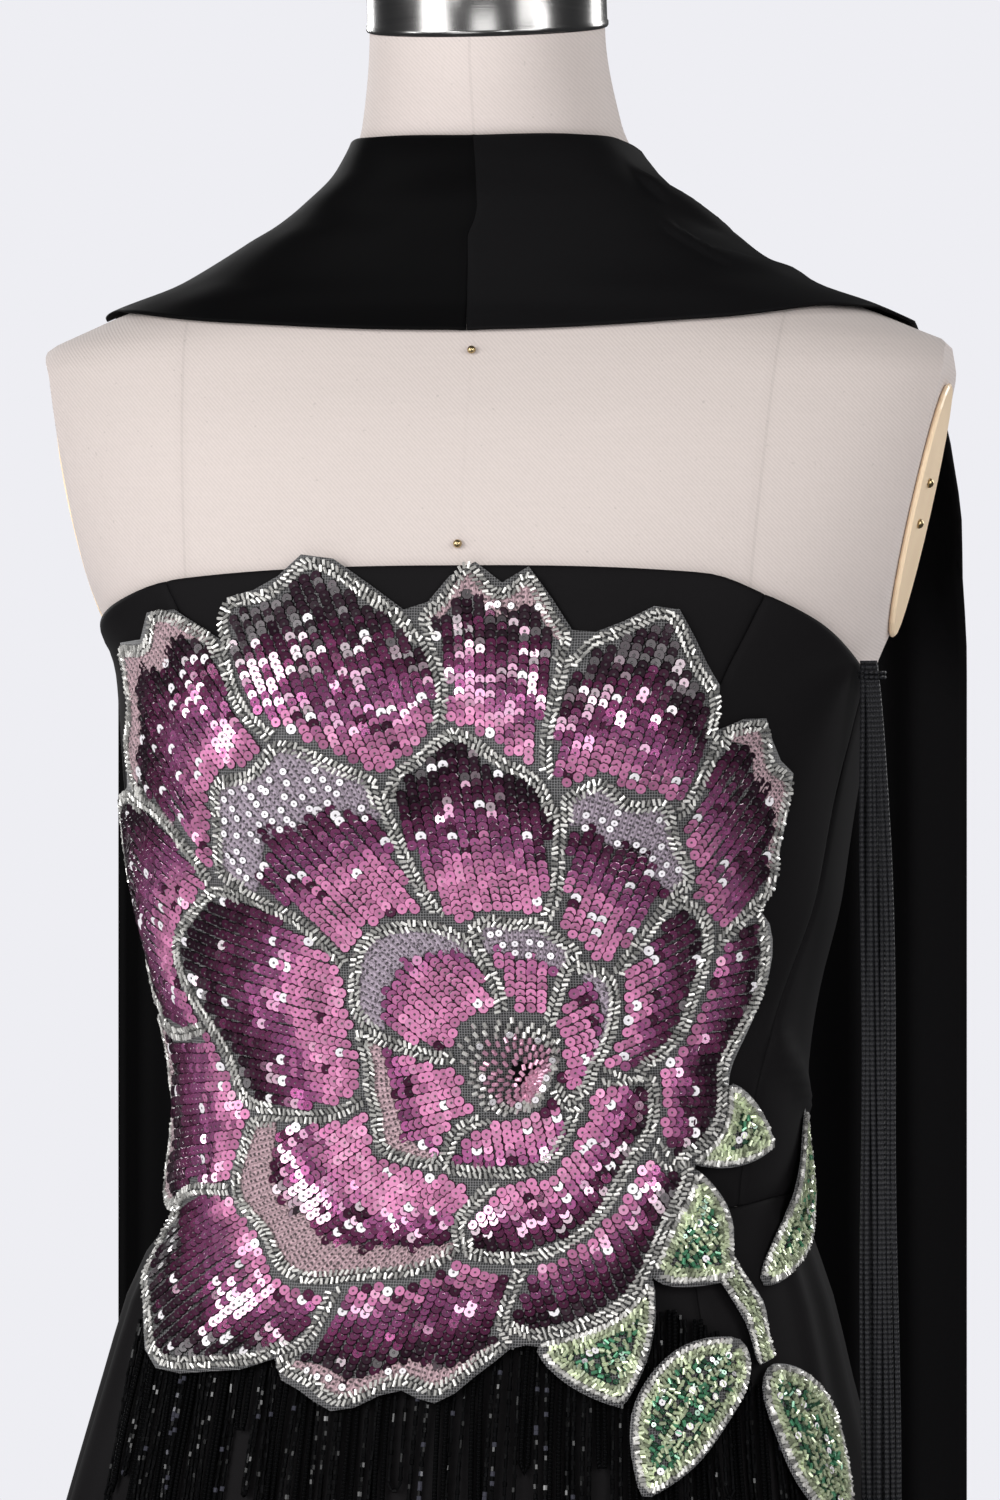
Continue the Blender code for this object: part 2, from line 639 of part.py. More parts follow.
def make_bloom():
    """A core of beads and three rings of petals, parted side by side."""
    grid = np.linspace(-1, 1, 5)
    u, v = np.meshgrid(grid, grid, indexing="ij")
    a, b = u * np.sqrt(1 - v * v / 2), v * np.sqrt(1 - u * u / 2)
    direction = np.degrees(np.arctan2(b, a))
    distance = np.hypot(a, b) * (ring_edge(-1, direction) - SEAM / 2)
    along, height = bloom_place(direction, distance)
    finish(walled(on_gown(along, height, CORE_LIFT), APPLIQUE), "bloom_core", CORE_COLOUR, 0.3)

    for ring, (name, share, scallop, ripple, bounds) in enumerate(RING_ROWS):
        lift = RING_LIFT * (len(RING_ROWS) - 1 - ring)
        starts, ends = np.array(bounds), np.array((*bounds[1:], bounds[0] + 360))
        tips, roots = (ring_edge(edge, (starts + ends) / 2) for edge in (ring, ring - 1))
        rows = max(2, math.ceil((tips - roots).max() / FACET))
        for index, (start, end, tip, root) in enumerate(zip(starts, ends, tips, roots)):
            gap = math.degrees(1.5 * SEAM / (tip + root))
            columns = max(6, math.ceil(math.radians(end - start) * tip / FACET))
            direction = np.linspace(start + gap, end - gap, columns + 1)[None, :]
            inner = ring_edge(ring - 1, direction) + RING_GAPS[ring]
            outer = ring_edge(ring, direction)
            out = np.linspace(0, 1, rows + 1)[:, None]
            along, height = bloom_place(direction, inner + (outer - inner) * out)
            petal = walled(on_gown(along, height, lift), APPLIQUE)
            finish(petal, f"petal_{name}_{index + 1}", PETAL_COLOURS[name], 0.35)


def make_greenery():
    """Sepals behind the bloom, a short stem and three leaves."""
    outer_ring = len(RING_ROWS) - 1
    for index, (first, last, length) in enumerate(SEPAL_ROWS):
        direction = np.linspace(first, last, 6)[None, :]
        place = (direction - first) / (last - first)
        pointed = (1 - np.abs(2 * place - 1)) ** 0.8
        inner = ring_edge(outer_ring, direction) + SEPAL_GAP
        outer = inner + 0.003 + length * pointed
        out = np.linspace(0, 1, 3)[:, None]
        along, height = bloom_place(direction, inner + (outer - inner) * out)
        sepal = walled(on_gown(along, height), APPLIQUE)
        finish(sepal, f"sepal_{index + 1}", LEAF_GREEN, 0.4)

    for name, *sizes in LEAF_ROWS:
        root, tip = np.array(sizes[0:2]), np.array(sizes[2:4])
        half_width, bend, lift = sizes[4:7]
        down = np.linspace(0, 1, 7)[None, :]
        run = tip - root
        aside = np.array([-run[1], run[0]]) / np.linalg.norm(run)
        spine = root[:, None] + run[:, None] * down + aside[:, None] * bend * np.sin(math.pi * down)
        width = half_width * (0.06 + 0.94 * np.sin(math.pi * down**0.8) ** 0.8)
        across = np.linspace(1, -1, 5)[:, None]
        along = spine[0][None, :] + aside[0] * width * across
        height = spine[1][None, :] + aside[1] * width * across
        finish(walled(on_gown(along, height, lift), APPLIQUE), name, LEAF_GREEN, 0.4)

    points = np.array(STEM_POINTS)
    down = np.linspace(0, 2, 6)
    spine = np.array([np.interp(down, range(3), points[:, axis]) for axis in range(2)])
    slope = np.gradient(spine, axis=1)
    aside = np.array([-slope[1], slope[0]]) / np.linalg.norm(slope, axis=0)
    across = np.array([1, 0, -1])[:, None] * STEM_HALF_WIDTH
    along = spine[0][None, :] + aside[0][None, :] * across
    height = spine[1][None, :] + aside[1][None, :] * across
    finish(walled(on_gown(along, height, STEM_LIFT), APPLIQUE), "stem", STEM_GREEN, 0.4)


def make_fringes():
    """The reach of the beaded fringe, and of the hank of cords under the left arm."""
    front, side_back = SKIRT_SEAMS
    side_columns = np.linspace(front, side_back, SKIRT_STEPS[1] + 1)
    columns = np.linspace(-front, front, SKIRT_STEPS[0] + 1)
    columns = np.concatenate([-side_columns[:0:-1], columns, side_columns[1:]])
    low, high = FRINGE_TOP_ROWS[0][0], FRINGE_TOP_ROWS[-1][0]
    turn = columns[(columns > low) & (columns < high)][:, None]
    top = read_rows(FRINGE_TOP_ROWS, turn[:, 0])[0][:, None]
    height = FRINGE_END + (top - FRINGE_END) * np.linspace(0, 1, 8)[None, :]
    turn = np.broadcast_to(turn, height.shape)
    points = moved_out(gown_inside, turn, height, CLOTH + FRINGE_GAP)
    finish(walled(points, FRINGE_THICKNESS), "bead_fringe", BLACK_BEADS, 0.3)

    levels = np.linspace(HANK_TOP, HANK_END, 15)
    down = (levels[0] - levels) / (levels[0] - HANK_END)
    turns = HANK_TURN + 5 * down + np.linspace(-2.2, 2.2, 5)[:, None]
    surface = moved_out(gown_inside, turns, levels[None, :], CLOTH + SEAM)
    inner = np.maximum.accumulate(surface[..., 0].max(axis=0))
    middle = surface[2, 0, 1]
    rings = []
    widths = HANK_WIDTH * (0.5 + 0.6 * (1 - np.exp(-12 * down)) + 0.5 * down)
    corners = ((0, -0.6), (0, 0.6), (0.5, 1), (1, 0.6), (1, -0.6), (0.5, -1))
    for side, level, width in zip(inner, levels, widths):
        rings.append([
            (side + out * width, middle + across * HANK_HALF_DEPTH, level)
            for out, across in corners
        ])
    finish(lofted(rings), "cord_hank", BLACK_BEADS, 0.5)


def scarf_inside(turn, height):
    """The inner face of the scarf over the neck and shoulders, with its soft folds."""
    turn, height = np.broadcast_arrays(turn, height)
    out = SCARF_GAP + 0 * turn
    for front, side, half_width, rise in SCARF_FOLD_ROWS:
        line = front + (side - front) * np.abs(turn) / 90
        out = out + rise * np.exp(-(((height - line) / half_width) ** 2))
    return moved_out(form_point, turn, height, out)


def ridge_height(side, sideways):
    """The height of a shoulder's ridge at a distance to its side."""
    heights = np.linspace(1.400, NECK_TOP, 150)
    reach = side * form_point(side * 90 + 0 * heights, heights)[:, 0]
    return float(np.interp(-sideways, -reach, heights))


def make_scarf():
    """Two pieces joined at the centre front, each with a tail falling behind the shoulder."""
    for side, name in ((1, "left"), (-1, "right")):
        low, high = sorted((side * 0.15, side * 88.5))
        turn = np.linspace(low, high, 12)[:, None]
        lower, upper = read_rows(SCARF_EDGE_ROWS, turn[:, 0])
        share = np.linspace(0, 1, 8)[None, :]
        height = lower[:, None] + (upper - lower)[:, None] * share
        points = scarf_inside(turn + 0 * height, height)
        finish(walled(points, CLOTH), "scarf_front_" + name, CREPE, 0.6)

        round_over = TAIL_ROUND * (1 - np.cos(np.radians(np.linspace(0, 90, 6))))
        columns = []
        for share in np.linspace(0, 1, 6):
            at_ridge = TAIL_NECK_SIDE + share * (TAIL_RIDGE_SIDES[side] - TAIL_NECK_SIDE)
            at_hem = TAIL_INNER_SIDE + share * (TAIL_OUTER_SIDES[side] - TAIL_INNER_SIDE)
            start = ridge_height(side, at_ridge) - RIDGE_CLEAR
            fall = start - TAIL_ROUND - TAIL_END
            falling = start - TAIL_ROUND - fall * np.linspace(0, 1, 10)[1:] ** 1.7
            heights = np.concatenate([start - round_over, falling])
            fallen = smooth_step((start - heights) / 0.16)
            spread = smooth_step((start - heights) / TAIL_SPREAD)
            sideways = at_ridge + (at_hem - at_ridge) * spread
            off_middle = side * read_rows(SWAY_ROWS, heights)[0]
            on_form = turn_behind(FORM_ROWS, sideways - off_middle, heights)
            gap = SCARF_GAP + (TAIL_GAP - SCARF_GAP) * smooth_step((start - heights) / TAIL_ROUND)
            column = moved_out(form_point, side * on_form, heights, gap)
            on_skirt = turn_behind(GOWN_ROWS, sideways - off_middle, heights)
            bulge = folds(np.arange(100, 260, 4.0)[:, None], heights).max(axis=0)
            gown = section_point(GOWN_ROWS, on_skirt, heights)[:, 1] + CLOTH + TAIL_GAP + bulge
            resting = np.where(heights < 1.27, np.maximum(column[:, 1], gown), column[:, 1])
            hang = TAIL_HANG + 0.006 * math.sin(math.pi * 2.4 * share)
            resting = np.maximum(resting, resting * (1 - fallen) + hang * fallen)
            column[:, 0] += spread * (side * sideways - column[:, 0])
            column[:, 1] = np.maximum.accumulate(resting)
            columns.append(column)
        grid = np.stack(columns, axis=1)
        order = grid if side < 0 else grid[:, ::-1]
        finish(walled(order, CLOTH), "scarf_tail_" + name, CREPE, 0.6)


def main():
    for obj in list(bpy.data.objects):
        bpy.data.objects.remove(obj, do_unlink=True)
    bpy.context.scene.collection.children.link(bpy.data.collections.new(NAME))
    make_form()
    make_stand()
    make_bodice()
    make_skirt()
    make_zip()
    make_bloom()
    make_greenery()
    make_fringes()
    make_scarf()


main()
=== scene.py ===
"""The finished look of the sequin evening gown, its scarf and the dress form that wears them.

Metres, +Z up. The gown faces -Y. Left and right are the wearer's, so left is +X.
A place on the body is a turn (0 at the centre front, 90 at the left side, 180 at the
centre back) and a height. A place on the applique is its distance along the cloth from
the centre front, and a height: the drawing of the motifs is made in that plane.
"""

import math

import bpy
import numpy as np
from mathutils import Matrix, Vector


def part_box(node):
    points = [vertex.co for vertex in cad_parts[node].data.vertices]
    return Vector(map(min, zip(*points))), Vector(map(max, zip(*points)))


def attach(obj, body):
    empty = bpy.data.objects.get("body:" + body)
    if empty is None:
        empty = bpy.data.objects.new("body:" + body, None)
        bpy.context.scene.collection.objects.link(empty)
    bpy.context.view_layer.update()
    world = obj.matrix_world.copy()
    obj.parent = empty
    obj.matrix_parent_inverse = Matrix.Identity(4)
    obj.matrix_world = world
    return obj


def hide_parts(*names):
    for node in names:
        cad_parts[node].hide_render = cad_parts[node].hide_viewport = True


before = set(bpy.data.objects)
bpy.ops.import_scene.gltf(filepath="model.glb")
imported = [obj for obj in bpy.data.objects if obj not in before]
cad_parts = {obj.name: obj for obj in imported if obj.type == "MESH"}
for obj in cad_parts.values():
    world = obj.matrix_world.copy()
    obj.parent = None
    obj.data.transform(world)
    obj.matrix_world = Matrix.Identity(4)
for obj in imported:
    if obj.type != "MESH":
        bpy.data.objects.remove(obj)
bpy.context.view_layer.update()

# ---------------------------------------------------------------- sizes shared with the solids
CLOTH = 0.002  # crepe over its boned lining
EASE = 0.0014  # from the form to the inside of the bodice
SEAM = 0.0003  # between pieces that meet
BODICE_RADIUS = 0.105  # nearly, which gives the width of a seam in degrees
WAIST = 1.040
HEM = 0.016
ZIP_END = 0.900
ZIP_HALF_WIDTH = 0.0025
ZIP_TOP = 1.2555
APPLIQUE_GAP = 0.0016
WAIST_BRIDGE = 0.0040  # further, where a motif spans the hollow of the waist
FRINGE_THICKNESS = 0.004
FRINGE_GAP = 0.0006
FRINGE_END = 0.715
BUST_APEX = (0.079, 1.232)  # sideways from the centre, height
BUST_SPREAD = (0.058, 0.056)
BUST_OUT = 0.018
ARMHOLE_LOW = (0.1685, 1.280)  # sideways and height of the flat side, below and above
ARMHOLE_HIGH = (0.1970, 1.405)
NECK_TILT = math.radians(10)
NECK_TILT_FROM = 1.475
NECK_TOP = 1.540
# radius, height
CAP_PROFILE = (
    (0.0515, 0.0),
    (0.0520, 0.0008),
    (0.0520, 0.0024),
    (0.0515, 0.0032),
    (0.0513, 0.0180),
    (0.0508, 0.0196),
    (0.0496, 0.0212),
    (0.0450, 0.0248),
    (0.0390, 0.0272),
    (0.0300, 0.0288),
    (0.0150, 0.0297),
    (0.0010, 0.0300),
)
FORM_END = 0.800

# height, half width, front, back, squareness
FORM_ROWS = (
    (0.800, 0.156, -0.110, 0.118, 2.2),
    (0.860, 0.166, -0.117, 0.128, 2.2),
    (0.930, 0.157, -0.112, 0.121, 2.2),
    (1.000, 0.142, -0.101, 0.100, 2.2),
    (WAIST, 0.1318, -0.0955, 0.0885, 2.2),
    (1.090, 0.1338, -0.101, 0.092, 2.2),
    (1.130, 0.1405, -0.108, 0.098, 2.2),
    (1.170, 0.1498, -0.114, 0.105, 2.2),
    (1.235, 0.1585, -0.121, 0.114, 2.2),
    (1.265, 0.1630, -0.122, 0.117, 2.25),
    (1.285, 0.1710, -0.120, 0.1185, 2.25),
    (1.310, 0.1840, -0.115, 0.1195, 2.3),
    (1.340, 0.1960, -0.106, 0.1185, 2.3),
    (1.370, 0.2040, -0.094, 0.1145, 2.3),
    (1.395, 0.2075, -0.080, 0.106, 2.3),
    (1.406, 0.1995, -0.073, 0.100, 2.3),
    (1.414, 0.1825, -0.068, 0.095, 2.25),
    (1.421, 0.1660, -0.0645, 0.089, 2.2),
    (1.432, 0.1360, -0.062, 0.081, 2.1),
    (1.449, 0.1055, -0.061, 0.069, 2.0),
    (1.462, 0.0870, -0.062, 0.056, 2.0),
    (1.481, 0.0660, -0.068, 0.041, 2.0),
    (1.500, 0.0560, -0.077, 0.030, 2.0),
    (NECK_TOP, 0.0505, -0.087, 0.014, 2.0),
)
SKIRT_ROWS = (
    (HEM, 0.366, -0.322, 0.385, 2.1),
    (0.300, 0.316, -0.268, 0.318, 2.1),
    (0.600, 0.252, -0.207, 0.240, 2.15),
    (0.800, 0.203, -0.163, 0.181, 2.2),
    (0.905, 0.1745, -0.137, 0.146, 2.2),
    (0.950, 0.1625, -0.125, 0.128, 2.2),
    (1.000, 0.1490, -0.1085, 0.1065, 2.2),
)
GOWN_ROWS = SKIRT_ROWS + tuple(
    (height, half + EASE, front - EASE, back + EASE, squareness)
    for height, half, front, back, squareness in FORM_ROWS
    if height >= WAIST
)
# height, sideways
SWAY_ROWS = (
    (0.900, -0.0100),
    (1.000, -0.0075),
    (WAIST, -0.0035),
    (1.090, -0.0030),
    (1.130, -0.0040),
    (1.180, -0.0040),
    (1.240, -0.0020),
    (1.275, 0.0),
    (1.393, 0.0),
    (1.404, -0.0025),
    (1.414, -0.0040),
    (1.449, -0.0045),
    (1.457, -0.0015),
    (1.464, 0.0),
)
FOLD_GROWTH = 1.1
# turn, half width, rise at the hem, top
FOLD_ROWS = (
    (-161, 8, 0.026, 0.98),
    (-138, 9, 0.022, 0.92),
    (-104, 8, 0.024, 0.97),
    (-83, 6, 0.017, 1.03),
    (-66, 6, 0.018, 1.00),
    (-28, 8, 0.024, 0.90),
    (-5, 7, 0.018, 0.84),
    (18, 9, 0.025, 0.88),
    (58, 7, 0.021, 0.98),
    (76, 5, 0.014, 1.01),
    (95, 8, 0.025, 0.96),
    (139, 9, 0.024, 0.94),
    (162, 8, 0.024, 0.98),
)
# height, turns of the princess, side and back seams
BODICE_SEAM_ROWS = (
    (1.035, 39, 57, 128),
    (1.120, 37, 65, 128),
    (1.190, 35, 73, 129),
    (1.240, 37, 75, 131),
    (1.310, 42, 79, 133),
)
SKIRT_SEAMS = (42, 118)
# turn, neckline, waist seam
EDGE_ROWS = (
    (-180, 1.256, 1.044),
    (-120, 1.263, 1.043),
    (-92, 1.276, 1.042),
    (-75, 1.286, 1.041),
    (-57, 1.2955, 1.038),
    (-38, 1.3035, 1.036),
    (0, 1.3075, 1.035),
    (30, 1.3045, 1.036),
    (42, 1.2960, 1.037),
    (54, 1.2865, 1.038),
    (71, 1.2705, 1.041),
    (90, 1.2540, 1.042),
    (125, 1.2500, 1.043),
    (180, 1.256, 1.044),
)
BLOOM_CENTRE = (0.030, 1.096)
# direction from the centre, reach
REACH_ROWS = (
    (0, 0.088),
    (30, 0.136),
    (52, 0.183),
    (88, 0.204),
    (112, 0.226),
    (134, 0.264),
    (158, 0.258),
    (182, 0.208),
    (205, 0.212),
    (226, 0.186),
    (252, 0.142),
    (280, 0.120),
    (325, 0.086),
)
# name, share of the reach, scallop, ripple, directions between the petals
RING_ROWS = (
    ("inner", 0.33, 0.13, 0.02, (-20, 62, 112, 162, 228)),
    ("middle", 0.67, 0.14, 0.03, (4, 47, 82, 115, 148, 188, 252)),
    ("outer", 1.00, 0.13, 0.03, (-28, 33, 60, 83, 104, 126, 149, 173, 201, 231, 271)),
)
CORE_SHARE = 0.12
# first and last direction, length
SEPAL_ROWS = ((276, 301, 0.030), (303, 329, 0.038), (332, 356, 0.026))
# name, root along and height, tip along and height, half width, bend, lift
LEAF_ROWS = (
    ("leaf_upper", 0.1400, 1.0060, 0.1800, 1.0760, 0.0140, -0.010, -0.0012),
    ("leaf_round", 0.1250, 0.9810, 0.0880, 0.9230, 0.0195, -0.006, 0.0),
    ("leaf_long", 0.1415, 0.9700, 0.1850, 0.8950, 0.0190, 0.010, 0.0),
)
STEM_POINTS = ((0.1193, 1.0095), (0.1330, 0.9940), (0.1395, 0.9750))
STEM_HALF_WIDTH = 0.0055
# turn, height
FRINGE_TOP_ROWS = ((-74, 0.976), (-52, 0.998), (-20, 1.010), (20, 1.008), (46, 0.990), (66, 0.905))
HANK_TURN = 71
HANK_TOP = 1.266
HANK_END = 0.640
# turn, lower edge, upper edge
SCARF_EDGE_ROWS = (
    (-90, 1.4185, 1.4905),
    (-76, 1.4205, 1.4925),
    (-62, 1.4190, 1.4940),
    (-30, 1.4125, 1.4945),
    (0, 1.4080, 1.4940),
    (30, 1.4125, 1.4945),
    (62, 1.4190, 1.4930),
    (76, 1.4190, 1.4900),
    (90, 1.4140, 1.4875),
)
# height at the front and at the side, half width, rise
SCARF_FOLD_ROWS = (
    (1.481, 1.462, 0.009, 0.0009),
    (1.455, 1.440, 0.011, 0.0010),
    (1.428, 1.421, 0.007, 0.0006),
)
SIDES = ((1, "left"), (-1, "right"))
DEGREE_OF_CLOTH = 0.0023  # a degree of turn, as a length round the body
# lines of (turn, height) places, half width, rise
SHOULDER_FOLDS = (
    (((64, 1.470), (76, 1.459), (86, 1.449)), 0.0065, 0.0036),
    (((54, 1.451), (57, 1.440), (68, 1.4355), (83, 1.4340)), 0.0038, 0.0024),
)
WAIST_FOLDS = (
    (((68, 1.106), (80, 1.092), (96, 1.078)), 0.0065, 0.0026),
    (((30, 1.070), (58, 1.062)), 0.0050, 0.0006),
    (((-96, 1.082), (-78, 1.094)), 0.0060, 0.0016),
)
HIP_PLEATS = (
    (((-69, 1.030), (-68, 0.960), (-68, 0.800)), 0.0085, 0.0030),
    (((-79, 1.010), (-80, 0.900), (-81, 0.780)), 0.0080, 0.0022),
    (((70, 1.026), (70, 0.960), (69, 0.860)), 0.0065, 0.0022),
    (((80, 1.020), (81, 0.900), (82, 0.800)), 0.0080, 0.0026),
)
SCARF_GAP = 0.0010
TAIL_GAP = 0.0045  # from the back, whose roundness the tails span
TAIL_NECK_SIDE = 0.064
TAIL_INNER_SIDE = 0.096
TAIL_RIDGE_SIDES = {1: 0.178, -1: 0.173}
TAIL_OUTER_SIDES = {1: 0.193, -1: 0.200}
TAIL_SPREAD = 0.080  # how far down they reach their full width
TAIL_ROUND = 0.032  # how far down they go in rounding the shoulder
TAIL_HANG = 0.138  # how far behind the middle they fall
TAIL_END = 0.640

# ---------------------------------------------------------------- sizes of the finer work
SKIN = 0.0012  # thickness of the crepe itself
SEQUIN = 0.0026  # radius of a cup sequin
SEQUIN_ACROSS = 0.0047
SEQUIN_ALONG = 0.0030
SMALL_SEQUIN = 0.0018
LEAF_SEQUIN = 0.00145
LEAF_ACROSS, LEAF_ALONG = 0.0026, 0.0021
BEAD_PITCH = 0.0022
BEAD_HALF_LENGTH = 0.0014
BEAD_RADIUS = 0.00068
THREAD_COLUMN = 0.0030
PETAL_BULGE = 0.005
GOLDEN_ANGLE = 137.508
ROW_OUTSIDE, ROW_WITHIN = 0.0015, 0.0042  # the two rows of beads at a petal's edge
FRINGE_FROM, FRINGE_TO, FRINGE_PITCH = -60.0, 64.0, 1.16  # turns of the strings
CUT_BEAD, LONG_BEAD, BEAD_SLACK = 0.0019, 0.0036, 0.00012
COIL_TOP, COIL_PITCH = 1.252, 0.0012
FRINGE_CORD_RADIUS = 0.00105
HANK_CORDS = 12
HANK_CORD_RADIUS = 0.00112
FORM_SEAM = 0.1290  # sideways place of the linen's panel seams on the chest
FORM_SEAM_TOP, FORM_SEAM_SLOPE = 1.42, 0.078  # below this height they draw in
TWILL_PITCH = 0.0013
PIN_PLACES = ((0.1, 1.3995), (-0.1, 1.3168))
PIN_SIZE = 0.0019
RIVET_PLACES = ((0.012, -0.010), (-0.006, -0.014))  # up and backward from a plate's middle
RIVET_SIZE = 0.0022


def dye(code):
    """A scene colour from its six-figure code."""
    parts = [int(code[i : i + 2], 16) / 255 for i in (0, 2, 4)]
    return tuple(p / 12.92 if p <= 0.04045 else ((p + 0.055) / 1.055) ** 2.4 for p in parts)


# ---------------------------------------------------------------- the forms under the cloth
def read_rows(rows, where):
    """The other columns of a table at any value of its first column, with no overshoot."""
    table = np.array(rows, dtype=float)
    keys, values = table[:, 0], table[:, 1:]
    where = np.asarray(where, dtype=float)
    steps = np.diff(keys)
    slopes = np.diff(values, axis=0) / steps[:, None]
    product = slopes[1:] * slopes[:-1]
    total = np.where(product > 0, slopes[1:] + slopes[:-1], 1)
    tangents = np.zeros_like(values)
    tangents[1:-1] = np.where(product > 0, 2 * product / total, 0)
    first = np.clip(np.searchsorted(keys, where) - 1, 0, len(keys) - 2)
    step = steps[first]
    share = np.clip((where - keys[first]) / step, 0, 1)[..., None]
    step = step[..., None]
    near = values[first] * (1 + 2 * share) + tangents[first] * step * share
    far = values[first + 1] * (3 - 2 * share) - tangents[first + 1] * step * (1 - share)
    found = near * (1 - share) ** 2 + far * share**2
    return np.moveaxis(found, -1, 0)


def smooth_step(value):
    """0 below 0, 1 above 1, and a soft rise between."""
    value = np.clip(value, 0, 1)
    return value * value * (3 - 2 * value)


def section_point(rows, turn, height, ease=0.0):
    """A point on a body of superellipse sections, with the fullness of the bust."""
    half, front, back, squareness = read_rows(rows, height)
    angle = np.radians(turn)
    sine, cosine = np.sin(angle), np.cos(angle)
    power = 2 / squareness
    middle, depth = (front + back) / 2, (back - front) / 2
    x = half * np.sign(sine) * np.abs(sine) ** power
    y = middle - depth * np.sign(cosine) * np.abs(cosine) ** power
    sideways = (np.abs(x) - BUST_APEX[0]) / BUST_SPREAD[0]
    upwards = (height - BUST_APEX[1]) / BUST_SPREAD[1]
    y = y - BUST_OUT * smooth_step(cosine * 2.5) * np.exp(-(sideways**2) - upwards**2)
    rise = (height - ARMHOLE_LOW[1]) / (ARMHOLE_HIGH[1] - ARMHOLE_LOW[1])
    side = ARMHOLE_LOW[0] + (ARMHOLE_HIGH[0] - ARMHOLE_LOW[0]) * rise
    limit = np.where(rise > -0.3, side + ease, 1)
    x = np.clip(x, -limit, limit) + read_rows(SWAY_ROWS, height)[0]
    return np.stack([x, y, height + 0 * x], axis=-1)


def form_point(turn, height):
    """A point on the dress form. Its neck leans forward, so its rings tilt."""
    point = section_point(FORM_ROWS, turn, height)
    front, back = read_rows(FORM_ROWS, height)[1:3]
    lean = smooth_step((height - NECK_TILT_FROM) / (NECK_TOP - NECK_TILT_FROM))
    point[..., 2] += (point[..., 1] - (front + back) / 2) * math.tan(NECK_TILT) * lean
    return point


def folds(turn, height):
    """How far the skirt's folds stand out."""
    out = 0 * turn + 0 * height
    for middle, half_width, rise, top in FOLD_ROWS:
        away = (turn - middle + 180) % 360 - 180
        grown = np.clip((top - height) / (top - HEM), 0, 1) ** FOLD_GROWTH
        out = out + rise * grown * np.exp(-((away / half_width) ** 2))
    return out


def gown_inside(turn, height):
    """A point on the inner face of the gown's cloth."""
    point = section_point(GOWN_ROWS, turn, height, EASE)
    outward = point[..., :2] / np.linalg.norm(point[..., :2], axis=-1, keepdims=True)
    point[..., :2] += outward * folds(turn, height)[..., None]
    return point


def unit(vectors):
    """Vectors of length one."""
    return vectors / np.maximum(np.linalg.norm(vectors, axis=-1, keepdims=True), 1e-12)


def surface_axes(surface, turn, height):
    """Across, up and outward on a surface."""
    across = unit(surface(turn + 0.5, height) - surface(turn - 0.5, height))
    upward = surface(turn, height + 0.002) - surface(turn, height - 0.002)
    outward = unit(np.cross(across, upward))
    return across, np.cross(outward, across), outward


def moved_out(surface, turn, height, distance):
    """A point of a surface, moved along its normal."""
    turn, height = np.broadcast_arrays(np.asarray(turn, float), np.asarray(height, float))
    outward = surface_axes(surface, turn, height)[2]
    return surface(turn, height) + outward * np.asarray(distance)[..., None]


def lengths_along(points, axis):
    """The length from the first of a row of points to each of them."""
    steps = np.linalg.norm(np.diff(points, axis=axis), axis=-1)
    return np.cumsum(np.concatenate([0 * steps.take([0], axis), steps], axis=axis), axis=axis)


LEVEL_STEP, ALONG_STEP = 0.01, 0.004
TURNS = np.arange(0, 151, 1.0)
LEVELS = np.arange(0.60, 1.34, LEVEL_STEP)
ALONG = np.arange(0, 0.46, ALONG_STEP)
LENGTHS = lengths_along(section_point(GOWN_ROWS, TURNS[None, :], LEVELS[:, None] + 0 * TURNS), 1)
TURN_TABLE = np.array([np.interp(ALONG, row, TURNS) for row in LENGTHS])


def turn_at(along, height):
    """The turn of a place at a distance along the cloth from the centre front."""
    along, height = np.broadcast_arrays(np.asarray(along, float), np.asarray(height, float))
    row = np.clip((height - LEVELS[0]) / LEVEL_STEP, 0, len(LEVELS) - 1.001)
    column = np.clip(np.abs(along) / ALONG_STEP, 0, len(ALONG) - 1.001)
    i, j = row.astype(int), column.astype(int)
    up, over = row - i, column - j
    low = TURN_TABLE[i, j] * (1 - over) + TURN_TABLE[i, j + 1] * over
    high = TURN_TABLE[i + 1, j] * (1 - over) + TURN_TABLE[i + 1, j + 1] * over
    return np.sign(along) * (low * (1 - up) + high * up)


def applique_out(turn, height):
    """How far a motif lies outside the inner face: more where it hangs over the fringe."""
    fringe_top = read_rows(FRINGE_TOP_ROWS, turn)[0]
    over_fringe = smooth_step((fringe_top + 0.040 - height) / 0.032)
    bridge = WAIST_BRIDGE * (1 - over_fringe) * np.exp(-(((height - WAIST) / 0.022) ** 2))
    return CLOTH + APPLIQUE_GAP + over_fringe * FRINGE_THICKNESS + bridge


def seat(place, lift):
    """Points on the applique, and the cloth's axes there: across, up and outward."""
    along, height = place[..., 0], place[..., 1]
    turn = turn_at(along, height)
    across, upward, outward = surface_axes(gown_inside, turn, height)
    out = applique_out(turn, height) + lift
    return gown_inside(turn, height) + outward * out[..., None], across, upward, outward


def reach_of_bloom(direction):
    """The bloom's outline, from its centre."""
    rows = REACH_ROWS[-2:] + REACH_ROWS + REACH_ROWS[:2]
    laps = (-360,) * 2 + (0,) * len(REACH_ROWS) + (360,) * 2
    wrapped = tuple((row[0] + lap, row[1]) for row, lap in zip(rows, laps))
    return read_rows(wrapped, np.asarray(direction) % 360)[0]


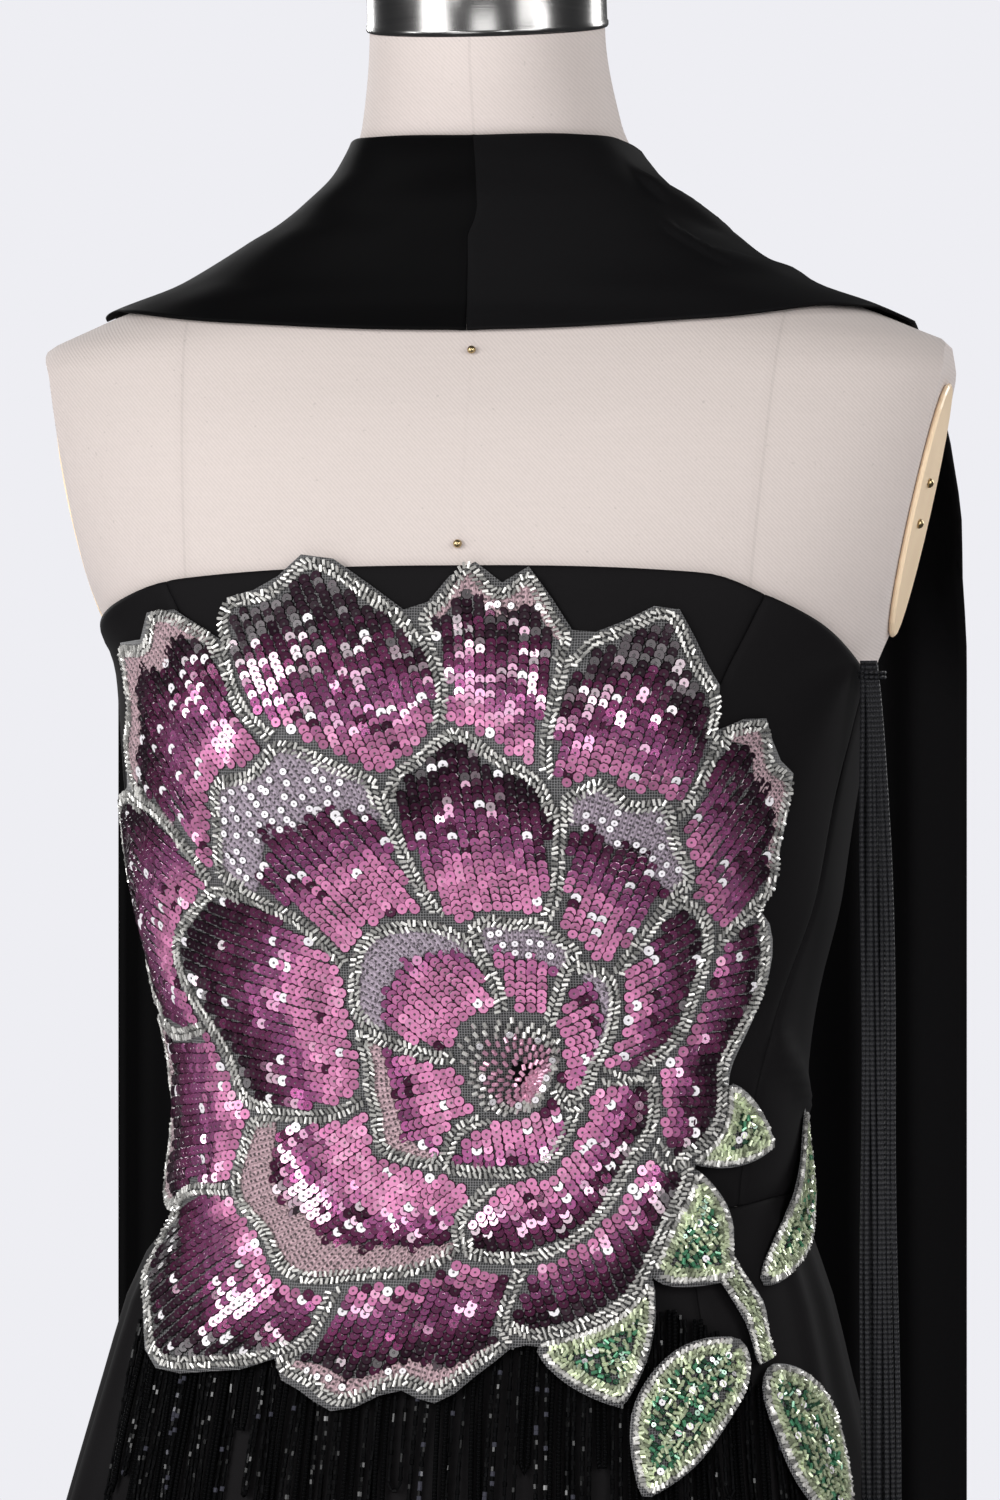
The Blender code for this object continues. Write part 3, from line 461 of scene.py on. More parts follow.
def ring_edge(ring, direction):
    """The scalloped and rippled outer edge of a ring of petals. Ring -1 is the core."""
    direction = np.asarray(direction, dtype=float)
    if ring < 0:
        return CORE_SHARE * reach_of_bloom(direction)
    share, scallop, ripple, bounds = RING_ROWS[ring][1:]
    lapped = (direction - bounds[0]) % 360 + bounds[0]
    place = np.interp(lapped, (*bounds, bounds[0] + 360), np.arange(len(bounds) + 1))
    petal, place = np.floor(place), place % 1
    round_tip = np.abs(np.sin(math.pi * place)) ** 0.6
    ripples = np.sin(math.pi * place) * np.sin(2 * math.pi * place * (1.6 + petal % 2) + petal)
    return share * reach_of_bloom(direction) * (1 - scallop + scallop * round_tip + ripple * ripples)


def petal_bound(ring, border):
    """The direction that parts two petals of a ring."""
    bounds = RING_ROWS[ring][4]
    return (*bounds, bounds[0] + 360)[border]


def bloom_place(direction, distance):
    """A place in the drawing, from its direction and distance from the bloom's centre."""
    angle = np.radians(direction)
    along = BLOOM_CENTRE[0] + distance * np.cos(angle)
    height = BLOOM_CENTRE[1] + distance * np.sin(angle)
    return np.stack(np.broadcast_arrays(along, height), axis=-1)


def bloom_polar(place):
    """The direction and distance of a place in the drawing."""
    offset = place - np.array(BLOOM_CENTRE)
    return np.degrees(np.arctan2(offset[..., 1], offset[..., 0])), np.linalg.norm(offset, axis=-1)


# ---------------------------------------------------------------- finishes
class Wire:
    """What flows between the nodes of a finish, for plain arithmetic."""

    def __init__(self, finish, socket):
        self.finish = finish
        self.socket = socket

    def math(self, operation, *others):
        return self.finish.math(operation, self, *others)

    def __add__(self, other):
        return self.math("ADD", other)

    def __sub__(self, other):
        return self.math("SUBTRACT", other)

    def __rsub__(self, other):
        return self.finish.math("SUBTRACT", other, self)

    def __mul__(self, other):
        return self.math("MULTIPLY", other)

    def __abs__(self):
        return self.math("ABSOLUTE")

    __radd__ = __add__
    __rmul__ = __mul__


class Finish:
    """A material made of nodes. The values given are the same all over it."""

    def __init__(self, name, values):
        self.material = bpy.data.materials.new(name)
        self.material.use_nodes = True
        self.nodes = self.material.node_tree.nodes
        self.shader = self.nodes["Principled BSDF"]
        self.dress(values)

    def feed(self, socket, value):
        if isinstance(value, Wire):
            self.material.node_tree.links.new(value.socket, socket)
        elif socket.type == "RGBA":
            socket.default_value = (*value, 1)
        else:
            socket.default_value = value

    def dress(self, values):
        for key, value in values.items():
            self.feed(self.shader.inputs[key], value)

    def node(self, kind, settings, values, output=0):
        made = self.nodes.new("ShaderNode" + kind)
        for key, value in settings.items():
            setattr(made, key, value)
        for key, value in values.items():
            self.feed(made.inputs[key], value)
        return Wire(self, made.outputs[output])

    def math(self, operation, *values):
        return self.node("Math", {"operation": operation}, dict(enumerate(values)))

    def blend(self, factor, first, second):
        """From the first colour to the second."""
        values = {0: factor, 6: first, 7: second}
        return self.node("Mix", {"data_type": "RGBA", "clamp_factor": True}, values, output=2)

    def shade(self, colour, factor):
        """A colour made lighter or darker by a factor."""
        return self.node("VectorMath", {"operation": "SCALE"}, {0: colour, "Scale": factor})

    def place(self):
        """The point on the body, in metres."""
        return self.node("TexCoord", {}, {}, output=3)

    def cut(self):
        """The point on the flat cloth, in metres."""
        return self.node("UVMap", {"uv_map": "cut"}, {})

    def stretched(self, where, scale, turned=(0.0, 0.0, 0.0)):
        return self.node("Mapping", {}, {"Vector": where, "Scale": scale, "Rotation": turned})

    def noise(self, where, scale, detail=2.0, roughness=0.5):
        values = {"Vector": where, "Scale": scale, "Detail": detail, "Roughness": roughness}
        return self.node("TexNoise", {}, values)

    def band(self, value, low, high):
        """0 below low, 1 above high."""
        values = {"Value": value, "From Min": low, "From Max": high}
        return self.node("MapRange", {"clamp": True, "interpolation_type": "SMOOTHSTEP"}, values)

    def apart(self, where):
        """The three numbers of a vector."""
        made = self.nodes.new("ShaderNodeSeparateXYZ")
        self.feed(made.inputs[0], where)
        return [Wire(self, socket) for socket in made.outputs]

    def tint(self):
        """The colour and the gloss given to each small piece."""
        made = self.nodes.new("ShaderNodeAttribute")
        made.attribute_name = "tint"
        return Wire(self, made.outputs["Color"]), Wire(self, made.outputs["Alpha"])

    def relief(self, height, depth, strength=1.0):
        """Bumps, whose depth is in metres."""
        values = {"Height": height, "Distance": depth, "Strength": strength}
        self.dress({"Normal": self.node("Bump", {}, values)})


def crepe(name, colour, sheen):
    """Matt crepe: tightly twisted yarns with a pebbled face and a soft bloom of light."""
    finish = Finish(name, {"Sheen Weight": sheen, "Sheen Roughness": 0.42})
    finish.dress({"Sheen Tint": (0.62, 0.62, 0.66), "Specular IOR Level": 0.055})
    cut = finish.cut()
    pebble = finish.noise(cut, 1500.0, 2.0, 0.6)
    yarns = finish.noise(finish.stretched(cut, (2600.0, 260.0, 1.0)), 1.0, 1.0)
    rubbed = finish.noise(cut, 14.0, 3.0)
    weave = pebble * 0.6 + yarns * 0.4
    finish.dress({
        "Base Color": finish.shade(colour, 0.55 + weave * 0.7 + rubbed * 0.35),
        "Roughness": 0.62 + rubbed * 0.12 + weave * 0.08,
    })
    finish.relief(weave, 0.00010, 0.5)
    return finish.material


def linen():
    """Undyed twill with slubs, sewn in vertical panels."""
    finish = Finish("form_linen", {"Sheen Weight": 0.12, "Sheen Roughness": 0.5})
    finish.dress({"Specular IOR Level": 0.25, "Roughness": 0.82})
    place = finish.place()
    x, y, z = finish.apart(place)
    ribs = finish.noise(finish.stretched(place, (900.0, 900.0, 130.0), (0.0, 0.75, 0.0)), 1.0, 1.0)
    slubs = finish.noise(finish.stretched(place, (60.0, 60.0, 900.0)), 1.0, 2.0)
    flecks = finish.band(finish.noise(place, 420.0, 1.0), 0.74, 0.80)
    soiled = finish.noise(place, 7.0, 3.0)
    aside = abs(x) + finish.math("MAXIMUM", FORM_SEAM_TOP - z, 0.0) * FORM_SEAM_SLOPE
    seam_run = finish.math("COMPARE", aside, FORM_SEAM, 0.0006)
    middle_run = finish.math("COMPARE", x, 0.0, 0.0006) * finish.math("LESS_THAN", y, 0.0)
    above = finish.band(z, 1.425, 1.445)
    seam = finish.math("MAXIMUM", seam_run, middle_run * (0.25 + above * 0.75))
    near_seam = 1 - finish.band(abs(aside - FORM_SEAM), 0.0007, 0.0045)
    twill = finish.math("SINE", (x + z + slubs * 0.0004) * (2 * math.pi * math.sqrt(0.5) / TWILL_PITCH))
    tone = 0.955 + ribs * 0.06 + slubs * 0.05 + soiled * 0.06 + twill * 0.055
    tone = tone - seam * 0.07 - near_seam * 0.02 - flecks * 0.14
    finish.dress({"Base Color": finish.shade(dye("c8bdb8"), tone)})
    finish.relief(ribs * 0.5 + slubs * 0.3 + twill * 0.2 - seam * 1.5 - near_seam * 0.8, 0.00018, 0.6)
    return finish.material


def brushed_steel(name, roughness):
    """Steel with fine lines of polishing round it."""
    finish = Finish(name, {"Metallic": 1.0})
    place = finish.place()
    lines = finish.noise(finish.stretched(place, (12.0, 12.0, 2600.0)), 1.0, 2.0)
    smears = finish.noise(place, 26.0, 3.0)
    finish.dress({
        "Base Color": finish.shade((0.27, 0.265, 0.26), 0.84 + lines * 0.22),
        "Roughness": roughness - 0.08 + lines * 0.10 + smears * 0.10,
    })
    finish.relief(lines, 0.00005, 0.35)
    return finish.material


def resin():
    """Cast shell with a satin skin, mellowed with age."""
    finish = Finish("form_resin", {"Coat Weight": 0.25, "Coat Roughness": 0.3})
    place = finish.place()
    mottled = finish.noise(place, 38.0, 4.0)
    grain = finish.noise(finish.stretched(place, (120.0, 900.0, 60.0)), 1.0, 2.0)
    finish.dress({
        "Base Color": finish.shade(dye("ffe4c0"), 0.94 + mottled * 0.2 + grain * 0.08),
        "Roughness": 0.34 + mottled * 0.16,
    })
    finish.relief(mottled, 0.0004, 0.25)
    return finish.material


def powder_coat():
    """Black paint baked on, with its orange-peel face and dusty patches."""
    finish = Finish("form_base_paint", {"Coat Weight": 0.1, "Coat Roughness": 0.4})
    place = finish.place()
    peel = finish.noise(place, 700.0, 2.0)
    dust = finish.noise(place, 18.0, 4.0)
    finish.dress({
        "Base Color": finish.shade((0.030, 0.030, 0.032), 0.8 + dust * 0.9),
        "Roughness": 0.36 + dust * 0.2,
    })
    finish.relief(peel, 0.0001, 0.5)
    return finish.material


def net():
    """Fine grey tulle, drawn flat over the crepe."""
    finish = Finish("bloom_net", {"Roughness": 0.6, "Sheen Weight": 0.3})
    cut = finish.cut()
    values = {"Vector": cut, "Scale": 900.0, "Randomness": 0.15}
    cells = finish.node("TexVoronoi", {"feature": "DISTANCE_TO_EDGE"}, values)
    thread = 1 - finish.band(cells, 0.04, 0.15)
    finish.dress({"Base Color": finish.blend(thread, (0.005, 0.005, 0.0055), (0.20, 0.195, 0.20))})
    finish.relief(thread, 0.0001, 0.6)
    return finish.material


def foil(name, coat):
    """Stamped film, lacquered. Each sequin has its own colour and gloss."""
    finish = Finish(name, {"Coat Roughness": 0.06, "Coat IOR": 2.35, "Specular IOR Level": 0.15})
    colour, gloss = finish.tint()
    scuffs = finish.noise(finish.place(), 1300.0, 2.0)
    finish.dress({
        "Base Color": finish.shade(colour, 0.92 + scuffs * 0.16),
        "Metallic": 0.05 + gloss * 0.62,
        "Roughness": 0.52 - gloss * 0.36,
        "Coat Weight": (0.08 + gloss * gloss * 0.92) * coat,
    })
    return finish.material


def glass_bead(name, metallic, roughness, coat=0.8, shine=0.4):
    """Cut glass lined with colour, which glints through the lining."""
    finish = Finish(name, {"Coat Roughness": 0.06, "Specular IOR Level": shine})
    colour, gloss = finish.tint()
    streak = finish.noise(finish.place(), 1900.0, 1.0)
    finish.dress({
        "Base Color": finish.shade(colour, 0.75 + streak * 0.5),
        "Metallic": metallic,
        "Roughness": roughness + (1 - gloss) * 0.3,
        "Coat Weight": gloss * coat,
    })
    return finish.material


def thread():
    """Stranded rayon in satin stitch."""
    finish = Finish("embroidery", {"Sheen Weight": 0.2, "Specular IOR Level": 0.4})
    colour = finish.tint()[0]
    cut = finish.cut()
    across, out = finish.apart(cut)[:2]
    across = across + finish.noise(cut, 420.0, 1.0) * 0.0022
    strands = finish.noise(finish.stretched(cut, (2600.0, 700.0, 1.0), (0.0, 0.0, 0.9)), 1.0, 2.0)
    fuzz = finish.noise(cut, 1500.0, 2.0, 0.7)
    beside = finish.band(finish.math("PINGPONG", across, THREAD_COLUMN / 2), 0.0004, 0.0008)
    step = finish.math("SINE", out * (2 * math.pi / 0.0021) + fuzz * 4.0)
    hole = (1 - beside) * finish.band(step, -0.2, 0.35)
    stray = finish.band(finish.noise(cut, 620.0, 1.0), 0.60, 0.66)
    dark = finish.math("MAXIMUM", hole, stray * 0.8)
    tone = finish.math("MAXIMUM", strands * 1.7 + fuzz * 1.4 - 0.7, 0.12)
    finish.dress({
        "Base Color": finish.shade(colour, tone * (1 - dark * 0.88)),
        "Roughness": 0.5 + strands * 0.2,
    })
    finish.relief(strands * 0.6 - dark, 0.0004, 0.7)
    return finish.material


def ribbed_cord(name, colour, pitch, shine=0.25):
    """Knitted cord, whose loops stack into fine ribs."""
    finish = Finish(name, {"Specular IOR Level": shine})
    finish.dress({"Sheen Weight": shine * 0.12, "Sheen Roughness": 0.4, "Sheen Tint": (0.7, 0.74, 0.85)})
    round_it, down = finish.apart(finish.cut())[:2]
    chevron = abs(finish.math("PINGPONG", round_it, 0.5) - 0.25) * pitch
    loops = finish.math("SINE", (down + chevron) * (2 * math.pi / pitch)) * 0.5 + 0.5
    # The loops' crests are painted lighter and their dips darker: painted highlight and painted shade over
    # the ribs.
    finish.dress({
        "Base Color": finish.shade(colour, 0.35 + loops * 1.3),
        "Roughness": 0.55 - loops * 0.15,
    })
    finish.relief(loops, 0.0004, 0.8)
    return finish.material


def brass():
    """Pin heads and screws."""
    finish = Finish("brass", {"Metallic": 1.0})
    wear = finish.noise(finish.place(), 900.0, 2.0)
    finish.dress({
        "Base Color": finish.blend(wear, (0.62, 0.48, 0.26), (0.40, 0.30, 0.16)),
        "Roughness": 0.18 + wear * 0.2,
    })
    return finish.material


def zip_tape():
    """Woven tape in a herringbone."""
    finish = Finish("zip_tape", {"Sheen Weight": 0.2})
    x, _, z = finish.apart(finish.place())
    slant = abs(finish.math("PINGPONG", x, 0.0012)) + z
    herring = finish.math("SINE", slant * (2 * math.pi / 0.0009)) * 0.5 + 0.5
    finish.dress({
        "Base Color": finish.shade((0.011, 0.011, 0.012), 0.7 + herring * 0.6),
        "Roughness": 0.5 + herring * 0.2,
    })
    finish.relief(herring, 0.0001, 0.5)
    return finish.material


def enamel():
    """Black enamel on the slider, rubbed in patches."""
    finish = Finish("zip_metal", {"Metallic": 0.8})
    rubbed = finish.noise(finish.place(), 600.0, 3.0)
    finish.dress({
        "Base Color": finish.blend(finish.band(rubbed, 0.5, 0.75), (0.02, 0.02, 0.022), (0.2, 0.2, 0.2)),
        "Roughness": 0.25 + rubbed * 0.2,
    })
    return finish.material


# ---------------------------------------------------------------- meshes
class Heap:
    """Solids gathered for one mesh, each batch with its finish."""

    def __init__(self):
        self.points, self.tints, self.cuts = [], [], []
        self.loops, self.sizes, self.finishes, self.smooth = [], [], [], []
        self.count = 0

    def add(self, points, faces, finish=0, tint=(1, 1, 1), gloss=1.0, smooth=False, cut=None, marks=None):
        """points is (copies, corners, 3). Faces name the corners of one copy; the corner shares darken some
        corners as painted shade, and the grey added tints the knot.
        """
        copies, corners = points.shape[:2]
        if copies == 0:
            return
        order = np.concatenate([np.asarray(face) for face in faces])
        sizes = np.array([len(face) for face in faces])
        starts = self.count + np.arange(copies)[:, None] * corners
        self.points.append(points.reshape(-1, 3))
        self.loops.append((starts + order[None, :]).ravel())
        self.sizes.append(np.tile(sizes, copies))
        self.finishes.append(np.full(len(sizes) * copies, finish))
        self.smooth.append(np.full(len(sizes) * copies, smooth))
        colour = np.empty((copies, corners, 4))
        tint, gloss = np.asarray(tint, float), np.asarray(gloss, float)
        colour[..., :3] = tint[:, None, :] if tint.ndim == 2 else tint
        colour[..., 3] = gloss[:, None] if gloss.ndim == 1 else gloss
        if marks is not None:
            # the rim's corners are darkened here: painted shade
            colour[..., :3] = colour[..., :3] * marks[:, :1] + marks[:, 1:]
            colour[..., 3] *= 0.25 + 0.75 * marks[:, 0]
        self.tints.append(colour.reshape(-1, 4))
        self.cuts.append(np.zeros((copies * corners, 2)) if cut is None else cut.reshape(-1, 2))
        self.count += copies * corners

    def make(self, name, finishes):
        points, loops = np.concatenate(self.points), np.concatenate(self.loops)
        sizes = np.concatenate(self.sizes)
        mesh = bpy.data.meshes.new(name)
        mesh.vertices.add(len(points))
        mesh.vertices.foreach_set("co", points.astype(np.float32).ravel())
        mesh.loops.add(len(loops))
        mesh.loops.foreach_set("vertex_index", loops.astype(np.int32))
        mesh.polygons.add(len(sizes))
        mesh.polygons.foreach_set("loop_start", (np.cumsum(sizes) - sizes).astype(np.int32))
        mesh.polygons.foreach_set("material_index", np.concatenate(self.finishes).astype(np.int32))
        mesh.polygons.foreach_set("use_smooth", np.concatenate(self.smooth))
        mesh.update(calc_edges=True)
        tint = mesh.attributes.new("tint", "FLOAT_COLOR", "POINT")
        tint.data.foreach_set("color", np.concatenate(self.tints).astype(np.float32).ravel())
        cut = mesh.uv_layers.new(name="cut")
        cut.data.foreach_set("uv", np.concatenate(self.cuts)[loops].astype(np.float32).ravel())
        mesh.validate()
        for finish in finishes:
            mesh.materials.append(finish)
        obj = bpy.data.objects.new(name, mesh)
        bpy.context.scene.collection.objects.link(obj)
        return obj


def finish_piece(obj, slot, *nodes):
    """The piece rides on the part and stands for these solids, which it hides. Its slot is not used."""
    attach(obj, "root")
    if nodes:
        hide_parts(*nodes)
    return obj


def grid_faces(rows, columns, first=0, flipped=False):
    """Quads over a grid of corners."""
    corner = first + np.arange(rows * columns).reshape(rows, columns)
    quads = np.stack([corner[:-1, :-1], corner[1:, :-1], corner[1:, 1:], corner[:-1, 1:]], axis=-1)
    quads = quads.reshape(-1, 4)
    return list(quads[:, ::-1] if flipped else quads)


def shell(heap, outer, inner, cut, finish=0):
    """A closed skin between two grids of points."""
    rows, columns = outer.shape[:2]
    total = rows * columns
    faces = grid_faces(rows, columns) + grid_faces(rows, columns, total, flipped=True)
    corner = np.arange(total).reshape(rows, columns)
    rim = np.concatenate([corner[0, :-1], corner[:-1, -1], corner[-1, :0:-1], corner[:0:-1, 0]])
    after = np.roll(rim, -1)
    faces += list(np.stack([rim, after, after + total, rim + total], axis=-1))
    points = np.concatenate([outer.reshape(-1, 3), inner.reshape(-1, 3)])[None]
    heap.add(points, faces, finish, smooth=True, cut=np.concatenate([cut.reshape(-1, 2)] * 2)[None])


def grid_normals(grid):
    """Which way a grid of points faces."""
    return unit(np.cross(np.gradient(grid, axis=0), np.gradient(grid, axis=1)))


def cut_of(grid):
    """The flat cloth of a grid of points: lengths measured along its rows and columns."""
    return np.stack([lengths_along(grid, 0), lengths_along(grid, 1)], axis=-1)


def area_of(grid):
    """The area of a grid of points."""
    across = grid[1:, 1:] - grid[:-1, :-1]
    other = grid[1:, :-1] - grid[:-1, 1:]
    return float(np.linalg.norm(np.cross(across, other), axis=-1).sum() / 2)


def edged(count, near):
    """Shares of a width, crowded at both ends so that a seam can turn in."""
    inner = np.linspace(near[-1], 1 - near[-1], count)
    return np.concatenate([[0], near[:-1], inner, 1 - np.array(near[:-1])[::-1], [1]])


def turn_in(grid, width, depth):
    """How far a panel dips towards its side seams."""
    length = lengths_along(grid, 0)
    away = np.minimum(length, length[-1:] - length)
    return depth * np.exp(-((away / width) ** 2))


def waves(first, second, seed, count=7):
    """Smooth uneven relief from -1 to 1, from two coordinates in its own wavelengths."""
    rng = np.random.default_rng(seed)
    total = 0 * first + 0 * second
    for _ in range(count):
        angle = rng.uniform(0, math.pi)
        pace = rng.uniform(0.7, 1.9)
        along = first * math.cos(angle) + second * math.sin(angle)
        total = total + np.sin(2 * math.pi * along * pace + rng.uniform(0, 6.3)) / pace
    return total / (0.55 * count)


def patches(places, length, seed):
    """Smooth uneven relief over places in the drawing, in waves of about a length."""
    return waves(places[:, 0] / length, places[:, 1] / length, seed)


def placed(template, centre, axes, size):
    """Copies of a template, whose x, y and z go along three axes."""
    size = np.asarray(size, dtype=float)
    scaled = template[None] * (size[:, None, :] if size.ndim == 2 else size)
    return centre[:, None, :] + np.einsum("nkc,ncd->nkd", scaled * np.ones((len(centre), 1, 1)), axes)


def ring_points(radius, height, sides):
    """A ring about z."""
    angle = np.arange(sides) * 2 * math.pi / sides
    return np.stack([radius * np.cos(angle), radius * np.sin(angle), height + 0 * angle], axis=-1)


def ring_quads(first, second, sides):
    """Quads between two rings of corners."""
    i = np.arange(sides)
    j = (i + 1) % sides
    return list(np.stack([first + i, first + j, second + j, second + i], axis=-1))


def stack_faces(rings, sides):
    """The walls of a stack of rings that goes up its axis, and its two ends."""
    faces = []
    for ring in range(rings - 1):
        faces += ring_quads(ring * sides, (ring + 1) * sides, sides)
    return faces + [np.arange(sides)[::-1], (rings - 1) * sides + np.arange(sides)]


def sequin_template(sides):
    """A sequin of radius 1, its rim turned down and a knot in its hole, and the painted shade of its corners.
    """
    points = np.concatenate([ring_points(radius, height, sides) for radius, height in SEQUIN_RINGS])
    return points, stack_faces(len(SEQUIN_RINGS), sides), np.repeat(SEQUIN_PAINTED_SHADE_AND_KNOT, sides, axis=0)


def bead_template(sides=6):
    """A cut bead of half length 1 along x and radius 1."""
    ring = ring_points(1.0, 0.0, sides)
    points = np.concatenate([
        np.stack([np.full(sides, end), ring[:, 0], ring[:, 1]], axis=-1) for end in (-1.0, 1.0)
    ])
    return points, stack_faces(2, sides)


# radius, height
SEQUIN_RINGS = ((1.0, -0.20), (0.91, -0.07), (0.85, 0.0), (0.25, 0.0), (0.17, -0.05))
# share of the sequin's own colour, grey added. The near-black shares at the rim are painted shade, the shadow
# line under each raised edge; the grey is the knot's thread.
SEQUIN_PAINTED_SHADE_AND_KNOT = np.array([(0.02, 0.0), (0.05, 0.0), (1.0, 0.0), (0.95, 0.0), (0.05, 0.05)])
SEQUIN_SHAPE = sequin_template(8)
SMALL_SEQUIN_SHAPE = sequin_template(7)
BEAD_SHAPE = bead_template()


def tilted(axes, pitch, roll):
    """Axes tilted about the second, which lowers the first's far end, then rolled about the first."""
    first, second, third = axes
    cosine, sine = np.cos(pitch)[:, None], np.sin(pitch)[:, None]
    first, third = first * cosine - third * sine, third * cosine + first * sine
    cosine, sine = np.cos(roll)[:, None], np.sin(roll)[:, None]
    second, third = second * cosine + third * sine, third * cosine - second * sine
    return np.stack([first, second, third], axis=1)


def add_beads(heap, centre, axes, half, radius, finish=1, tint=(1, 1, 1), gloss=1.0):
    """Cut beads of a half length and radius, each along the first of its axes."""
    half, radius = half + np.zeros(len(centre)), radius + np.zeros(len(centre))
    points = placed(BEAD_SHAPE[0], centre, axes, np.stack([half, radius, radius], axis=-1))
    heap.add(points, BEAD_SHAPE[1], finish, tint, gloss)


def tubes(heap, paths, normals, radius, sides, finish=0, turns=1.0):
    """Round cords along paths of equal numbers of points."""
    copies, steps = paths.shape[:2]
    along = unit(np.gradient(paths, axis=1))
    across = unit(np.cross(normals, along))
    outward = np.cross(along, across)
    angle = np.arange(sides) * 2 * math.pi / sides
    circle = across[:, :, None, :] * np.cos(angle)[:, None]
    circle = circle + outward[:, :, None, :] * np.sin(angle)[:, None]
    points = (paths[:, :, None, :] + circle * radius).reshape(copies, -1, 3)
    cut = np.zeros((copies, steps, sides, 2))
    cut[..., 0] = np.abs(np.arange(sides) / sides - 0.5) * 2 * turns
    cut[..., 1] = lengths_along(paths, 1)[..., None]
    heap.add(points, stack_faces(steps, sides), finish, smooth=True, cut=cut)


# ---------------------------------------------------------------- drawing the motifs
def spaced(line, pitch, closed=False):
    """Places at an equal pitch along a line."""
    if closed:
        line = np.concatenate([line, line[:1]])
    length = lengths_along(line, 0)
    count = max(2, int(round(length[-1] / pitch)) + 1)
    where = np.linspace(0, length[-1], count)[: count - 1 if closed else count]
    return np.stack([np.interp(where, length, line[:, axis]) for axis in range(line.shape[1])], axis=-1)


def from_line(places, line):
    """The distance from places to a closed line."""
    start, end = line, np.roll(line, -1, axis=0)
    run = end - start
    offset = places[:, None, :] - start[None]
    share = np.clip((offset * run).sum(-1) / np.maximum((run * run).sum(-1), 1e-16), 0, 1)
    return np.linalg.norm(offset - share[..., None] * run, axis=-1).min(axis=1)


def from_edge(places, line):
    """The distance from places to an open line."""
    close = np.linspace(0, 1, 4)[:, None, None]
    dense = (line[None, :-1] * (1 - close) + line[None, 1:] * close).reshape(-1, 2)
    return np.linalg.norm(places[:, None, :] - dense[None], axis=-1).min(axis=1)


def inside(places, line):
    """Whether places lie within a closed line."""
    x, y = places[:, 0, None], places[:, 1, None]
    x0, y0 = line[None, :, 0], line[None, :, 1]
    x1, y1 = np.roll(x0, -1, axis=1), np.roll(y0, -1, axis=1)
    crosses = (y0 > y) != (y1 > y)
    level = x0 + (y - y0) / np.where(y1 == y0, 1e-12, y1 - y0) * (x1 - x0)
    return (crosses & (x < level)).sum(axis=1) % 2 == 1


def inset(line, outline, distance):
    """A line moved into its outline, which runs counter-clockwise."""
    run = unit(np.gradient(line, axis=0))
    moved = line + np.stack([-run[:, 1], run[:, 0]], axis=-1) * distance
    return moved[from_line(moved, outline) > 0.96 * distance]


def petal_side(ring, border, share):
    """The direction of the line between two petals, at shares of the way out."""
    straight = petal_bound(ring, border)
    near, far = ring_edge(ring - 1, straight), ring_edge(ring, straight)
    bulge = PETAL_BULGE * (1 if border % len(RING_ROWS[ring][4]) % 2 else -1)
    sway = bulge * np.sin(math.pi * share) + 0.0012 * np.sin(7 * share + 2 * border % 5)
    return straight + np.degrees(sway / (near + (far - near) * share)) * (share < 1)


def petal_drawing(ring, index):
    """A petal's closed outline, and its free edge: up one side, over the tip, down the other."""
    share = np.linspace(0, 1, 26)
    sides = []
    for border in (index, index + 1):
        direction = petal_side(ring, border, share)
        near, far = ring_edge(ring - 1, direction) + 0.0004, ring_edge(ring, direction)
        sides.append((direction, near + (far - near) * share))
    over = np.linspace(sides[0][0][-1], sides[1][0][-1], 50)[1:-1]
    root = np.linspace(sides[1][0][0], sides[0][0][0], 22)[1:-1]
    up = bloom_place(*sides[0])
    tip = bloom_place(over, ring_edge(ring, over))
    down = bloom_place(sides[1][0][::-1], sides[1][1][::-1])
    base = bloom_place(root, ring_edge(ring - 1, root) + 0.0004)
    free = np.concatenate([up, tip, down])
    return np.concatenate([free, base]), free


def leaf_drawing(row):
    """A leaf's closed outline, counter-clockwise, and its spine."""
    half_width, bend = row[5:7]
    root = np.array(row[1:3])
    run = np.array(row[3:5]) - root
    down = np.linspace(0, 1, 60)[:, None]
    aside = unit(np.array([-run[1], run[0]]))
    spine = root + run * down + aside * bend * np.sin(math.pi * down)
    width = half_width * (0.06 + 0.94 * np.sin(math.pi * down**0.8) ** 0.8)
    width = width * (1 + 0.05 * np.sin(9 * down + bend * 900))
    outline = np.concatenate([spine - aside * width, (spine + aside * width)[::-1]])
    return counter_clockwise(outline), spine


def sepal_drawing(first, last, length):
    """A sepal's closed outline, counter-clockwise, and its spine."""
    place = np.linspace(0, 1, 41)
    direction = first + (last - first) * place
    near = ring_edge(2, direction) + 0.0008
    far = near + 0.003 + length * (1 - np.abs(2 * place - 1)) ** 0.8
    outline = np.concatenate([bloom_place(direction, far), bloom_place(direction[::-1], near[::-1])])
    middle = (first + last) / 2
    reach = np.linspace(ring_edge(2, middle) + 0.002, far.max(), 20)
    return counter_clockwise(outline), bloom_place(middle + 0 * reach, reach)


def signed_area(line):
    """The area within a closed line, above 0 where it runs counter-clockwise."""
    after = np.roll(line, -1, axis=0)
    return float((line[:, 0] * after[:, 1] - line[:, 1] * after[:, 0]).sum() / 2)


def counter_clockwise(line):
    """A closed line, taken backward if it runs clockwise."""
    return line[::-1] if signed_area(line) < 0 else line


